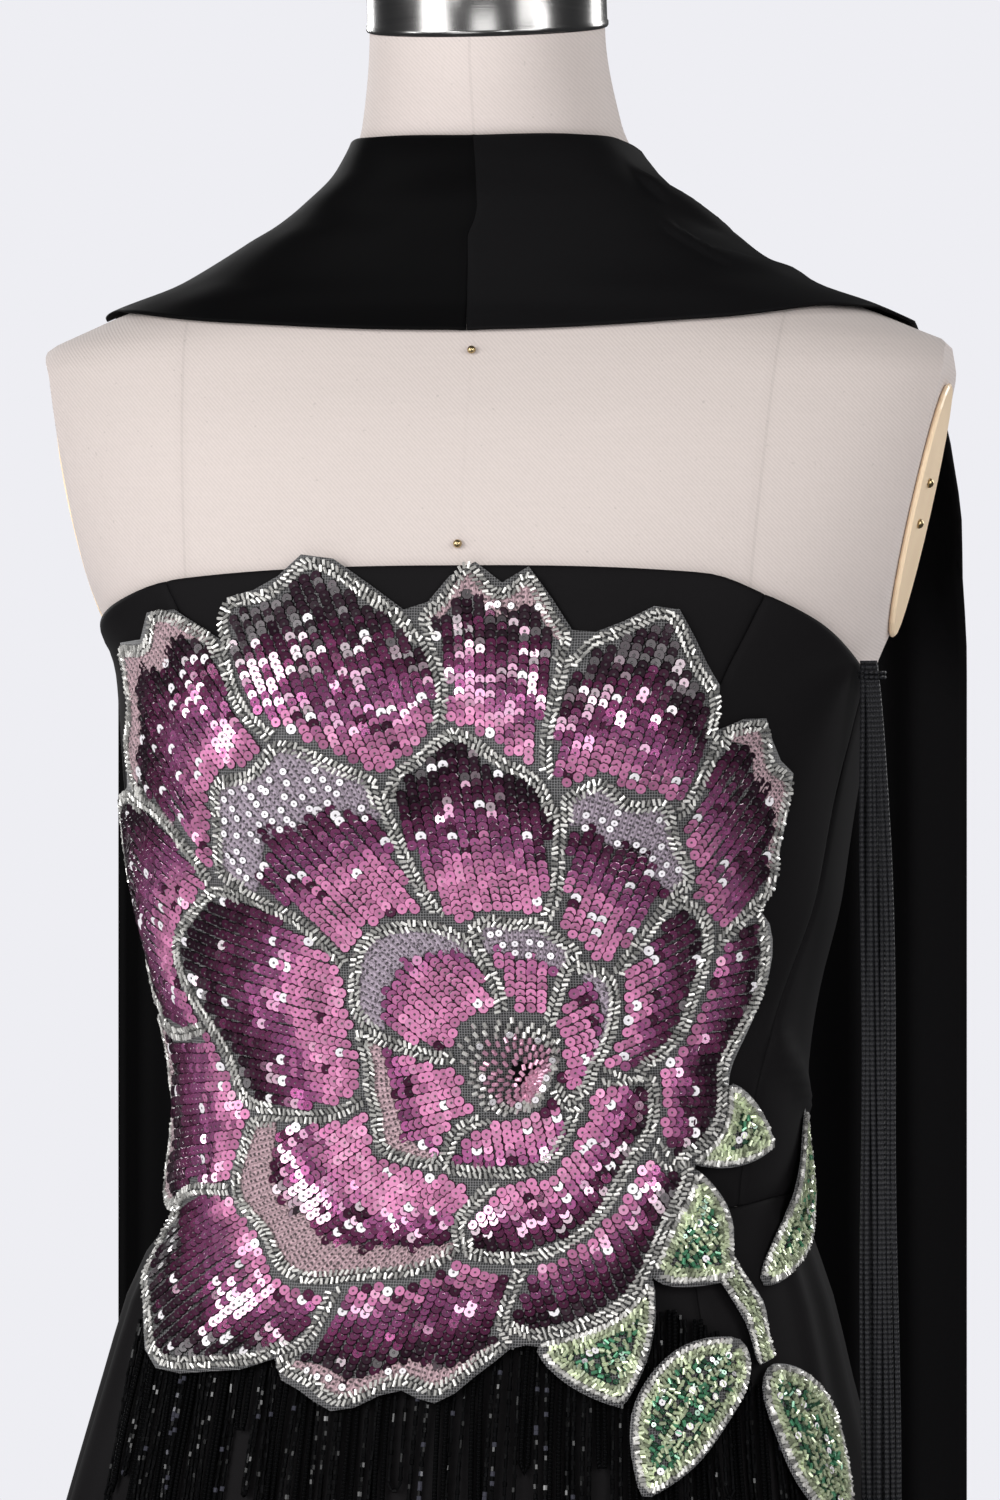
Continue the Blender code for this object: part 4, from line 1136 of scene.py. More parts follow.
def scales(outline, root, heading, across, along, rng, margin, arch, fan):
    """Columns of places within an outline, one strung thread each, and which way each grows.

    The margin is kept clear within the outline, arch bends the rows and fan parts the columns.
    """
    aside = np.array([heading[1], -heading[0]])
    reach = np.abs((outline - root) @ heading).max() + 0.02
    rows = np.arange(-reach, reach, along)
    columns = np.arange(-0.13, 0.13, across)
    k, j = np.meshgrid(np.arange(len(rows)), np.arange(len(columns)), indexing="ij")
    start = np.cumsum(rng.normal(0, 0.16, len(columns))) * along
    x = columns[j] + rng.normal(0, 0.00014, k.shape)
    y = rows[k] + start[j] + rng.normal(0, 0.00014, k.shape) - arch * x * x
    spread = 1 + fan * (y - reach / 2) / reach
    places = root + y[..., None] * heading + (x * spread)[..., None] * aside
    growth = unit(heading + (fan * x / reach)[..., None] * aside)
    places, growth = places.reshape(-1, 2), growth.reshape(-1, 2)
    kept = inside(places, outline)
    places, growth = places[kept], growth[kept]
    kept = from_line(places, outline) > margin
    return places[kept], growth[kept]


def sewn_on(places, growth, lift):
    """Where things are sewn, and their axes: the way that each grows, to its side, and outward."""
    centre, across, upward, outward = seat(places, lift)
    forward = across * growth[:, :1] + upward * growth[:, 1:]
    return centre, (forward, np.cross(outward, forward), outward)


def lay_sequins(heap, places, growth, radius, lift, tint, gloss, rng, shape=None, lean=9.0):
    """Sequins sewn at places like scales, each lying on the one nearer the tip."""
    points, faces, marks = shape or SEQUIN_SHAPE
    centre, axes = sewn_on(places, growth, lift)
    slack, sway = patches(places, 0.024, 11), patches(places, 0.021, 12)
    pitch = np.radians(rng.normal(0, 3.4, len(places)) + 12.0 * slack - lean)
    roll = np.radians(rng.normal(0, 3.4, len(places)) + 14.0 * sway)
    axes = tilted(axes, pitch, roll)
    spin = rng.uniform(0, 2 * math.pi, len(places))
    turned = axes[:, 0] * np.cos(spin)[:, None] + axes[:, 1] * np.sin(spin)[:, None]
    axes = np.stack([turned, np.cross(axes[:, 2], turned), axes[:, 2]], axis=1)
    size = radius * rng.uniform(0.95, 1.05, len(places))
    points = placed(points, centre, axes, size[:, None] * np.ones(3))
    heap.add(points, faces, 0, tint, gloss, marks=marks)


def lay_beads(heap, line, pitch, half_length, radius, lift, tint, rng, slant=0.0, wander=20.0):
    """Cut beads along a line, slanting across it."""
    places = spaced(line, pitch)
    count = len(places)
    run = unit(np.gradient(places, axis=0))
    centre, (forward, side, outward) = sewn_on(places, run, lift + rng.normal(0, 0.0001, count))
    sway = np.radians(slant + 14 * patches(places, 0.016, 21) + rng.normal(0, wander, count))[:, None]
    along = forward * np.cos(sway) + side * np.sin(sway)
    aside = side * np.cos(sway) - forward * np.sin(sway)
    pitch_up = np.radians(rng.normal(0, 7.0, count))
    axes = tilted((along, aside, outward), pitch_up, rng.uniform(0, 1.05, count))
    half = half_length * rng.uniform(0.85, 1.08, count)
    # One bead in six is painted half as light again, a painted sparkle; the other beads' tones differ at
    # random.
    tone = np.where(rng.random(count) < 0.16, 1.5, rng.uniform(0.3, 1.15, count))
    colour = np.asarray(tint) * tone[:, None]
    add_beads(heap, centre, axes, half, radius, tint=colour, gloss=rng.uniform(0.4, 1, count))


NEAR_BLACK = dye("240d1c")
DEEP_PLUM = dye("541a3e")
PLUM = dye("8a3b6c")
ROSE = dye("b5609a")
PINK = dye("c97ea6")
PALE_PINK = dye("dba3bb")
LILAC = dye("ac9dab")
SHELL_PINK = dye("c4a4ab")
SILVER = dye("d9d7d2")
CLEAR = dye("fbf6fa")
EMERALD = dye("43785a")
CELADON = dye("bac5a2")
PALE_GREEN = dye("cdd6b4")

# share of the way out, colour, gloss. The colours are painted reflection: pink near the root where the
# sequins would mirror the lamps, near black at the tips where they would mirror dark surroundings.
PAINTED_REFLECTION_OMBRE = {
    "inner": ((0.0, PINK, 0.1), (0.46, PINK, 0.15), (0.70, ROSE, 0.8), (0.86, PLUM, 1.0),
              (1.0, DEEP_PLUM, 1.0)),
    "middle": ((0.0, PINK, 0.1), (0.30, PINK, 0.2), (0.44, ROSE, 0.9), (0.58, PLUM, 1.0),
               (0.70, DEEP_PLUM, 0.85), (0.80, NEAR_BLACK, 0.30), (1.0, NEAR_BLACK, 0.12)),
    "outer": ((0.0, PINK, 0.3), (0.14, PINK, 0.5), (0.30, ROSE, 1.0), (0.48, PLUM, 1.0),
              (0.60, DEEP_PLUM, 0.85), (0.70, NEAR_BLACK, 0.30), (1.0, NEAR_BLACK, 0.12)),
}
# ring, petal, share of the way out where the embroidery starts, colour, clear sequins on it
EMBROIDERED = {
    ("inner", 0): (0.70, LILAC, False),
    ("inner", 1): (0.62, LILAC, True),
    ("inner", 2): (0.66, LILAC, False),
    ("inner", 3): (0.72, SHELL_PINK, False),
    ("middle", 1): (0.70, LILAC, True),
    ("middle", 3): (0.64, LILAC, True),
    ("middle", 5): (0.70, SHELL_PINK, False),
    ("outer", 1): (0.80, SHELL_PINK, False),
    ("outer", 3): (0.84, SHELL_PINK, True),
    ("outer", 5): (0.80, SHELL_PINK, False),
    ("outer", 7): (0.78, SHELL_PINK, False),
    ("outer", 9): (0.80, SHELL_PINK, True),
}


def petal_share(ring, places):
    """How far places lie from a petal's root to its tip."""
    direction, distance = bloom_polar(places)
    near, far = ring_edge(ring - 1, direction), ring_edge(ring, direction)
    return np.clip((distance - near) / (far - near), 0, 1)


def painted_reflection_ombre(name, share, rng):
    """The colours and gloss of sequins at shares of the way out; the colours are a painted reflection."""
    stops = PAINTED_REFLECTION_OMBRE[name]
    table = np.array([(key, *colour, gloss) for key, colour, gloss in stops])
    share = share + rng.normal(0, 0.05, len(share))
    *colour, gloss = (np.interp(share, table[:, 0], column) for column in table.T[1:])
    colour = np.stack(colour, axis=-1) * rng.uniform(0.70, 1.2, len(share))[:, None]
    return colour, np.clip(gloss + rng.normal(0, 0.06, len(share)), 0, 1)


def make_petal(ring, index, finishes):
    """One petal: rows of sequins on the net, embroidery at some tips, and a beaded edge."""
    name = RING_ROWS[ring][0]
    rng = np.random.default_rng(100 * ring + index)
    heap = Heap()
    outline, free = petal_drawing(ring, index)
    middle = (petal_bound(ring, index) + petal_bound(ring, index + 1)) / 2
    heading = np.array([math.cos(math.radians(middle)), math.sin(math.radians(middle))])
    root = bloom_place(middle, ring_edge(ring - 1, middle))
    lift = 0.0009 + 0.0002 * (2 - ring)
    places, growth = scales(outline, root, heading, SEQUIN_ACROSS, SEQUIN_ALONG, rng,
                            margin=0.0020, arch=3.0, fan=0.25)
    share = petal_share(ring, places)
    starts, colour_of_thread, has_clear = EMBROIDERED.get((name, index), (1.1, None, False))
    ragged = 0.05 * patches(places, 0.018, 5 + index)
    clear = np.where(share > 0.80, 0.0064, 0.0041)
    kept = (share + ragged < starts) & (from_edge(places, free) > clear)
    places, growth, share = places[kept], growth[kept], share[kept]
    colour, gloss = painted_reflection_ombre(name, share, rng)
    patch = patches(places, 0.034, 31 + ring) + rng.normal(0, 0.35, len(places))
    shadowed = patch > 0.85
    colour[shadowed] = np.array(DEEP_PLUM) * rng.uniform(0.7, 1.3, shadowed.sum())[:, None]
    gloss[shadowed] = 0.9
    # About one sequin in thirty is made clear and near white: a painted glint.
    painted_glint = rng.random(len(places)) < 0.035
    colour[painted_glint] = CLEAR
    gloss[painted_glint] = 0.3
    lay_sequins(heap, places, growth, SEQUIN, lift, colour, gloss, rng)
    if colour_of_thread:
        embroider(heap, ring, index, starts - 0.03, lift, colour_of_thread, rng)
        if has_clear:
            dots, dot_growth = scales(outline, root, heading, 0.0052, 0.0044, rng,
                                      margin=0.0058, arch=3.0, fan=0.25)
            sewn = (petal_share(ring, dots) > starts) & (rng.random(len(dots)) < 0.62)
            dots, dot_growth = dots[sewn] + rng.normal(0, 0.0006, (sewn.sum(), 2)), dot_growth[sewn]
            lay_sequins(heap, dots, dot_growth, SMALL_SEQUIN, lift + 0.0009, CLEAR, 0.2, rng,
                        SMALL_SEQUIN_SHAPE, lean=4.0)
    tip = free[petal_share(ring, free) > 0.80]
    slant = 68.0 if index % 2 else -58.0
    for line, distance, turned in ((free, ROW_OUTSIDE, slant), (tip, ROW_WITHIN, 0.85 * slant)):
        row = inset(line, outline, distance)
        if len(row) > 4:
            lay_beads(heap, row, BEAD_PITCH, BEAD_HALF_LENGTH, BEAD_RADIUS, lift + 0.0004, SILVER, rng,
                      slant=turned)
    obj = heap.make(f"sequined_petal_{name}_{index + 1}", finishes)
    slot = {"inner": "sequins_pink", "middle": "sequins_rose", "outer": "sequins_plum"}[name]
    return finish_piece(obj, slot, f"petal_{name}_{index + 1}")


def embroider(heap, ring, index, starts, lift, colour, rng):
    """Ribs of satin stitch, from a share of the way out to the beads."""
    first, last = petal_bound(ring, index), petal_bound(ring, index + 1)
    middle_reach = ring_edge(ring, (first + last) / 2)
    side = math.degrees(ROW_WITHIN / middle_reach)
    width = math.radians(last - first - 2 * side) * middle_reach
    ribs = max(4, round(width / THREAD_COLUMN))
    columns = ribs * 6 + 1
    across = np.linspace(0, 1, columns)
    low = petal_side(ring, index, np.array([0.85]))[0] + side
    high = petal_side(ring, index + 1, np.array([0.85]))[0] - side
    direction = low + (high - low) * across
    near, far = ring_edge(ring - 1, direction), ring_edge(ring, direction)
    rounded = np.sin(math.pi * across) ** 0.3
    begin = near + (far - near) * (starts + 0.10 * (1 - rounded))
    end = np.maximum(far - 0.0048, begin + 0.0008)
    rows = 11
    out = np.linspace(0, 1, rows)[:, None]
    distance = begin + (end - begin) * out
    places = bloom_place(direction[None, :] + 0 * distance, distance)
    rib = np.abs(np.sin(math.pi * ribs * across)) ** 0.5
    fade = np.sin(math.pi * np.clip(out, 0.03, 0.97)) ** 0.25
    height = lift - 0.0006 + 0.0008 * rib[None, :] * fade + 0.0001 * rng.normal(0, 1, (rows, columns))
    outer = seat(places, height)[0]
    inner = seat(places, lift - 0.0011)[0]
    stitched = np.stack([across * ribs * THREAD_COLUMN + 0 * out, distance], axis=-1)
    shell(heap, outer, inner, stitched, finish=2)
    shade = np.concatenate([(0.55 + 0.5 * rib * fade).ravel(), np.full(rib.size * rows, 0.4)])
    heap.tints[-1][:, :3] = np.array(colour) * (shade * rng.uniform(0.85, 1.12, len(shade)))[:, None]


def make_core(finishes):
    """The heart of the bloom: a knot of pale beads, with a ring of small clear sequins."""
    rng = np.random.default_rng(900)
    heap = Heap()
    count = 190
    order = np.arange(count)
    direction = order * GOLDEN_ANGLE % 360
    share = np.sqrt((order + 0.5) / count)
    places = bloom_place(direction, share * (ring_edge(-1, direction) - 0.0012))
    angle = np.radians(direction)
    growth = np.stack([np.cos(angle), np.sin(angle)], axis=-1)
    centre, axes = sewn_on(places, growth, 0.0016 + 0.0026 * np.cos(share * math.pi / 2))
    axes = tilted(axes, np.radians(35 + rng.normal(0, 14, count)), rng.uniform(0, 1, count))
    colour = np.where((share > 0.72)[:, None], SILVER, PALE_PINK) * rng.uniform(0.6, 1.1, count)[:, None]
    add_beads(heap, centre, axes, 0.00125, 0.0009, tint=colour)
    direction = np.arange(0, 360, 36.0)
    places = bloom_place(direction, 0.72 * ring_edge(-1, direction))
    growth = unit(places - np.array(BLOOM_CENTRE))
    lay_sequins(heap, places, growth, SMALL_SEQUIN, 0.0042, CLEAR, 0.8, rng, SMALL_SEQUIN_SHAPE, lean=20.0)
    obj = heap.make("beaded_heart", finishes)
    return finish_piece(obj, "sequins_pink", "bloom_core")


def make_leaf(name, node, outline, spine, finishes, seed, lift=0.0):
    """A leaf: rows of pale beads round its edge, and emerald sequins among beads within."""
    rng = np.random.default_rng(seed)
    heap = Heap()
    patch_net(heap, outline, 3)
    heading = unit(spine[-1] - spine[0])
    places, growth = scales(outline, spine[0], heading, LEAF_ACROSS, LEAF_ALONG, rng,
                            margin=0.0056, arch=2.0, fan=0.2)
    picked = rng.random(len(places)) < 0.9
    places, growth = places[picked], growth[picked]
    tone = rng.random(len(places))
    colour = np.array(EMERALD) * (0.5 + 1.0 * tone)[:, None]
    colour[tone > 0.86] = np.array(CELADON) * 0.8
    colour[tone > 0.95] = CLEAR
    lay_sequins(heap, places, growth, LEAF_SEQUIN, 0.0011, colour, 0.8, rng, SMALL_SEQUIN_SHAPE, lean=10.0)
    picked = rng.random(len(places)) < 0.62
    scatter(heap, places[picked], 0.0019, rng)
    dots = places[rng.random(len(places)) < 0.035]
    growth = np.tile(heading, (len(dots), 1))
    lay_sequins(heap, dots, growth, 0.0019, 0.0024, CLEAR, 0.2, rng, SMALL_SEQUIN_SHAPE, lean=6.0)
    lay_beads(heap, spine[6:-8], 0.0020, 0.0012, 0.0008, 0.0018, CELADON, rng, slant=60.0)
    ring = np.concatenate([outline, outline[:1]])
    for distance, colour in ((0.0008, SILVER), (0.0028, PALE_GREEN), (0.0047, CELADON)):
        line = inset(ring, outline, distance)
        if len(line) > 6:
            lay_beads(heap, line, 0.0019, 0.0013, 0.0009, 0.0013, colour, rng, slant=55.0, wander=26.0)
    heap.points = [points + unit(points * np.array([1, 1, 0])) * lift for points in heap.points]
    return finish_piece(heap.make(name, finishes), "beads_green", node)


def scatter(heap, places, lift, rng):
    """Short beads sewn every way among the sequins."""
    count = len(places)
    spin = rng.uniform(0, 2 * math.pi, count)
    centre, axes = sewn_on(places, np.stack([np.cos(spin), np.sin(spin)], axis=-1), lift)
    axes = tilted(axes, rng.normal(0, 0.25, count), rng.uniform(0, 1, count))
    colour = np.where(rng.random(count)[:, None] < 0.72, CELADON, np.array(EMERALD) * 1.5)
    colour = colour * rng.uniform(0.75, 1.25, count)[:, None]
    add_beads(heap, centre, axes, 0.0013, 0.0008, tint=colour)


def patch_net(heap, outline, finish):
    """The net behind a small motif, a little wider than its counter-clockwise outline."""
    middle = outline.mean(axis=0)
    ring = spaced(outline, 0.004, closed=True)
    wider = ring + unit(ring - middle) * 0.0016
    shares = np.array([0.02, 0.35, 0.7, 1.0])[:, None, None]
    grid = middle + (wider[None] - middle) * shares
    grid = np.concatenate([grid, grid[:, :1]], axis=1)[:, ::-1]
    shell(heap, seat(grid, 0.0003)[0], seat(grid, 0.0001)[0], grid, finish)


def make_stem(finishes):
    """Five rows of pale beads side by side."""
    rng = np.random.default_rng(77)
    heap = Heap()
    points = np.array(STEM_POINTS)
    down = np.linspace(0, 2, 30)
    spine = np.stack([np.interp(down, range(3), points[:, axis]) for axis in range(2)], axis=-1)
    spine = np.concatenate([[spine[0] + (spine[0] - spine[1]) * 3], spine])
    run = unit(np.gradient(spine, axis=0))
    aside = np.stack([-run[:, 1], run[:, 0]], axis=-1)
    for share, colour in ((-1, SILVER), (-0.5, PALE_GREEN), (0, CELADON), (0.5, PALE_GREEN), (1, SILVER)):
        line = spine + aside * share * STEM_HALF_WIDTH * 0.86
        lay_beads(heap, line, 0.0019, 0.0012, 0.0008, 0.0010, colour, rng, slant=30.0, wander=24.0)
    outline = np.concatenate([spine - aside * STEM_HALF_WIDTH, (spine + aside * STEM_HALF_WIDTH)[::-1]])
    patch_net(heap, counter_clockwise(outline), 3)
    return finish_piece(heap.make("beaded_stem", finishes), "beads_pale_green", "stem")


def make_bloom_net(finish):
    """The sheer ground that the whole bloom is sewn on."""
    direction = np.arange(0, 361, 3.0)[None, :]
    share = np.linspace(0.03, 1, 30)[:, None]
    reach = ring_edge(2, direction) + 0.0018 + 0.0008 * np.sin(np.radians(direction * 17))
    places = bloom_place(direction + 0 * share, reach * share)[:, ::-1]
    heap = Heap()
    shell(heap, seat(places, 0.0002)[0], seat(places, -0.0001)[0], places)
    obj = finish_piece(heap.make("bloom_net", [finish]), "sequins_plum")
    return obj


# ---------------------------------------------------------------- the gown
def turn_behind(rows, sideways, height):
    """The turn of a place on the back, at a distance to the left side."""
    half, _, _, squareness = read_rows(rows, height)
    share = np.clip(sideways / half, 0, 1) ** (squareness / 2)
    return 180 - np.degrees(np.arcsin(share))


def back_edge(height):
    """The turn of the back pieces' edges: beside the zip, and below it a plain seam."""
    share = smooth_step((height - (ZIP_END - 0.045)) / 0.04)
    beside_zip = SEAM / 2 + share * (ZIP_HALF_WIDTH + SEAM / 2)
    return turn_behind(GOWN_ROWS, beside_zip, height)


def bodice_height(turn, share):
    """Up the bodice from its waist seam to the neckline."""
    neckline, waist_seam = read_rows(EDGE_ROWS, turn)
    bottom = waist_seam + 0.0001
    return bottom + (neckline - bottom) * share


def skirt_height(turn, level):
    """Up the skirt from its hem, where the top level is the waist seam."""
    waist_seam = read_rows(EDGE_ROWS, turn)[1]
    return HEM + (waist_seam - 0.0001 - HEM) * (level - HEM) / (WAIST - HEM)


def crest(turn, height, line, half_width, rise):
    """A soft ridge along a line of (turn, height) places, rounded off at its ends."""
    across, upward = np.broadcast_arrays(np.asarray(turn, float) * DEGREE_OF_CLOTH, height)
    nearest = np.full(across.shape, 1.0)
    for start, end in zip(line, line[1:]):
        at = np.array((start[0] * DEGREE_OF_CLOTH, start[1]))
        step = np.array((end[0] * DEGREE_OF_CLOTH, end[1])) - at
        share = np.clip(((across - at[0]) * step[0] + (upward - at[1]) * step[1]) / (step @ step), 0, 1)
        away = np.hypot(across - at[0] - share * step[0], upward - at[1] - share * step[1])
        nearest = np.minimum(nearest, away)
    return rise * np.exp(-((nearest / half_width) ** 2))


def drape(turn, height):
    """Lesser creases between the main folds of the skirt, growing to the hem."""
    down = np.clip((WAIST - height) / (WAIST - HEM), 0, 1)
    creases = waves(turn / 34, down * 1.3, 3, 9)
    slack = waves(turn / 70, down * 2.2, 4, 5)
    pleats = sum(crest(turn, height, *row) for row in HIP_PLEATS)
    return 0.0070 * creases * down**1.3 + 0.0016 * slack * smooth_step(down * 6) + pleats


def strain(turn, height):
    """The faint unevenness of crepe drawn over boning."""
    lines = waves(turn / 26, height / 0.09, 8, 8)
    near_waist = np.exp(-(((height - WAIST - 0.02) / 0.03) ** 2))
    pulls = np.sin(turn / 4.2 + 30 * (height - WAIST)) * near_waist
    return 0.00030 * lines + 0.00022 * pulls + sum(crest(turn, height, *row) for row in WAIST_FOLDS)


def skin(name, node, outer, inner, finish, slot):
    """A thin sheet of cloth over the form, as a piece of its own."""
    heap = Heap()
    cut = cut_of(outer)
    shell(heap, outer, inner, cut)
    obj = finish_piece(heap.make(name, [finish]), slot, node)
    wide, tall = float(cut[-1, :, 0].max()), float(cut[:, -1, 1].max())
    min(area_of(outer), 0.999 * wide * tall)


def panel(node, turn, height, out, finish):
    """A gown panel: a thin skin with its own seams turned in and its edges rolled."""
    middle = moved_out(gown_inside, turn, height, CLOTH + out)
    dip = turn_in(middle, 0.0016, 0.0009)
    outer = moved_out(gown_inside, turn, height, CLOTH + out - dip)
    inner = moved_out(gown_inside, turn, height, CLOTH + out - dip - SKIN)
    skin("crepe_" + node, node, outer, inner, finish, "black_crepe")


def on_both_sides(*panels):
    """Panels of the left side and then of the right: name, lowest and highest turns, columns."""
    pieces = []
    for side, name in SIDES:
        for prefix, near, far, steps in panels:
            low, high = sorted((side * near, side * far), key=lambda turns: turns[0])
            pieces.append((prefix + name, low, high, steps))
    return pieces


def make_bodice(finish):
    """Seven panels, from the waist seam to a rolled neckline."""
    shares = np.concatenate([[0, 0.004, 0.012], np.linspace(0.03, 0.97, 42), [0.985, 0.994, 1]])
    nominal = BODICE_SEAM_ROWS[0][0] + shares * (BODICE_SEAM_ROWS[-1][0] - BODICE_SEAM_ROWS[0][0])
    princess, side_seam, back_seam = read_rows(BODICE_SEAM_ROWS, nominal)
    closing = back_edge(bodice_height(180, shares))
    gap = math.degrees(SEAM / 2 / BODICE_RADIUS)
    pieces = [("bodice_centre_front", -princess + gap, princess - gap, 34)]
    pieces += on_both_sides(
        ("bodice_side_front_", princess + gap, side_seam - gap, 20),
        ("bodice_side_", side_seam + gap, back_seam - gap, 22),
        ("bodice_back_", back_seam + gap, closing, 22),
    )
    rolled = 0.0005 * (smooth_step((shares - 0.975) / 0.01) - smooth_step((shares - 0.992) / 0.008))
    for name, low, high, steps in pieces:
        across = edged(steps, [0.007, 0.018, 0.04])[:, None]
        turn = low[None, :] + (high - low)[None, :] * across
        height = bodice_height(turn, shares[None, :])
        tuck = 0.0009 * np.exp(-((shares[None, :] * 0.27 / 0.0018) ** 2))
        out = strain(turn, height) * (1 - shares[None, :] ** 8) + rolled[None, :] - tuck
        panel(name, turn, height, out, finish)


def make_skirt(finish):
    """Five panels from the hem to the waist seam, with their folds and creases."""
    levels = np.concatenate([[HEM, HEM + 0.002], np.linspace(0.024, 1.028, 58), [1.034, 1.038, WAIST]])
    gap = np.degrees(SEAM / 2 / read_rows(GOWN_ROWS, levels)[0])
    front, side_back = (0 * levels + seam for seam in SKIRT_SEAMS)
    closing = back_edge(skirt_height(180, levels))
    pieces = [("skirt_front", -front + gap, front - gap, 58)]
    pieces += on_both_sides(
        ("skirt_side_", front + gap, side_back - gap, 52),
        ("skirt_back_", side_back + gap, closing, 42),
    )
    for name, low, high, steps in pieces:
        across = edged(steps, [0.003, 0.008, 0.02])[:, None]
        turn = low[None, :] + (high - low)[None, :] * across
        height = skirt_height(turn, levels[None, :])
        out = drape(turn, height) - 0.0006 * np.exp(-(((height - HEM - 0.030) / 0.003) ** 2))
        out = out - 0.0009 * np.exp(-(((levels[None, :] - WAIST) / 0.0022) ** 2))
        panel(name, turn, height, out, finish)


def make_zip(tape, metal):
    """The zip's tape with its closed coil."""
    levels = np.linspace(ZIP_END, ZIP_TOP, 60)
    half = 180 - turn_behind(GOWN_ROWS, ZIP_HALF_WIDTH - 0.0002, levels)
    turn = 180 + np.linspace(-1, 1, 7)[:, None] * half[None, :]
    height = np.broadcast_to(levels, turn.shape)
    raised = 0.0004 * np.abs(np.linspace(-1, 1, 7))[:, None]
    heap = Heap()
    outer = moved_out(gown_inside, turn, height, CLOTH - 0.0007 + raised)
    inner = moved_out(gown_inside, turn, height, CLOTH - 0.0017 + raised)
    shell(heap, outer, inner, cut_of(outer))
    steps = np.arange(ZIP_END + 0.004, COIL_TOP, COIL_PITCH)
    side = np.where(np.arange(len(steps)) % 2, 1.0, -1.0)
    centre = moved_out(gown_inside, 180 + side * 0.25, steps, CLOTH - 0.0004)
    across, upward, outward = surface_axes(gown_inside, 180 + 0 * steps, steps)
    axes = np.stack([unit(across + 0.35 * side[:, None] * upward), upward, outward], axis=1)
    add_beads(heap, centre, axes, 0.0010, 0.00042)
    finish_piece(heap.make("zip_coil_and_tape", [tape, metal]), "zip_tape", "back_zip")


def make_slider(metal):
    """The zip's slider with its pull."""
    low, high = np.array(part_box("zip_slider"))
    middle, size = (low + high) / 2, high - low
    heap = Heap()
    for offset, scale in (((0, 0, 0), (0.62, 0.5, 1.0)), ((0, 0.35, 0.1), (0.3, 0.5, 0.62))):
        box = np.array([(x, y, z) for z in (-1, 1) for y in (-1, 1) for x in (-1, 1)], float)
        taper = 1 + 0.25 * box[:, 2:3] * np.array([[1, 0, 0]])
        points = middle + np.array(offset) * size + box * taper * np.array(scale) * size / 2
        faces = [(0, 2, 3, 1), (4, 5, 7, 6), (0, 1, 5, 4), (2, 6, 7, 3), (0, 4, 6, 2), (1, 3, 7, 5)]
        heap.add(points[None], faces)
    angle = np.linspace(-math.pi / 2, 1.5 * math.pi, 22)
    loop = np.stack([0.0012 * np.cos(angle), 0 * angle, -0.0024 + 0.0028 * np.sin(angle)], axis=-1)
    loop += middle + np.array([0, size[1] * 0.42, -0.001])
    tubes(heap, loop[None], np.tile([0.0, 1.0, 0.0], (1, 22, 1)), 0.0004, 6)
    obj = heap.make("slider_and_pull", [metal])
    bevel = obj.modifiers.new("rounded", "BEVEL")
    bevel.width = 0.00015
    bevel.segments = 2
    finish_piece(obj, "zip_metal", "zip_slider")


# ---------------------------------------------------------------- fringes
def string_path(index, left, right, rng):
    """The way of a looped string: down at its left turn, round the loop, and up at its right."""
    top = float(read_rows(FRINGE_TOP_ROWS, (left + right) / 2)[0]) - 0.004
    short = rng.random() < 0.30 or left < -52
    end = rng.uniform(0.90, 0.945) if short else rng.uniform(FRINGE_END + 0.004, 0.80)
    end = min(end, top - 0.03)
    around = np.linspace(0, math.pi, 9)[1:-1]
    middle, half = (left + right) / 2, (right - left) / 2
    loop_height = 0.0045
    down = np.linspace(top, end + loop_height, 48)
    sway = 0.28 * np.sin(down * rng.uniform(18, 34) + rng.uniform(0, 6))
    turn = np.concatenate([left + sway, middle - half * np.cos(around) + sway[-1], (right + sway)[::-1]])
    height = np.concatenate([down, end + loop_height * (1 - np.sin(around)), down[::-1]])
    reach = np.hypot(*moved_out(gown_inside, turn, height, 0 * turn)[:, :2].T)
    turn = np.degrees(np.arcsin(np.sin(np.radians(turn)) * (reach[0] / reach) ** 0.4))
    lift = CLOTH + FRINGE_GAP + 0.0018 + 0.0007 * np.sin(height * 60 + index)
    return moved_out(gown_inside, turn, height, lift + drape(turn, height) * 0.8)


def thread_beads(heap, path, has_long, rng):
    """A string of cut beads, in some every second one long, with a few painted light as glints."""
    length = lengths_along(path, 0)
    sizes, reached = [], 0.0
    painted_glint_share = 0.11 if rng.random() < 0.22 else 0.006
    while reached < length[-1] - 0.004:
        size = LONG_BEAD if has_long and len(sizes) % 2 else CUT_BEAD
        sizes.append((reached + size / 2, size))
        reached += size + BEAD_SLACK
    where, sizes = np.array(sizes).T
    count = len(where)
    centre = np.stack([np.interp(where, length, path[:, axis]) for axis in range(3)], axis=-1)
    forward = unit(np.gradient(centre, axis=0))
    outward = unit(centre * np.array([1, 1, 0]))
    side = unit(np.cross(outward, forward))
    pitch, roll = rng.normal(0, 0.06, count), rng.uniform(0, 1.05, count)
    axes = tilted((forward, side, np.cross(forward, side)), pitch, roll)
    radius = np.where(sizes == LONG_BEAD, 0.00075, 0.00095)
    # A few short beads are painted forty times as light: painted glints.
    pale = (rng.random(count) < painted_glint_share) & (sizes == CUT_BEAD)
    tone = np.where(pale, 40.0, rng.uniform(0.5, 1.4, count))
    colour = np.array([0.0010, 0.0010, 0.0013]) * tone[:, None]
    add_beads(heap, centre, axes, sizes / 2, radius, 0, colour, rng.random(count) ** 12)


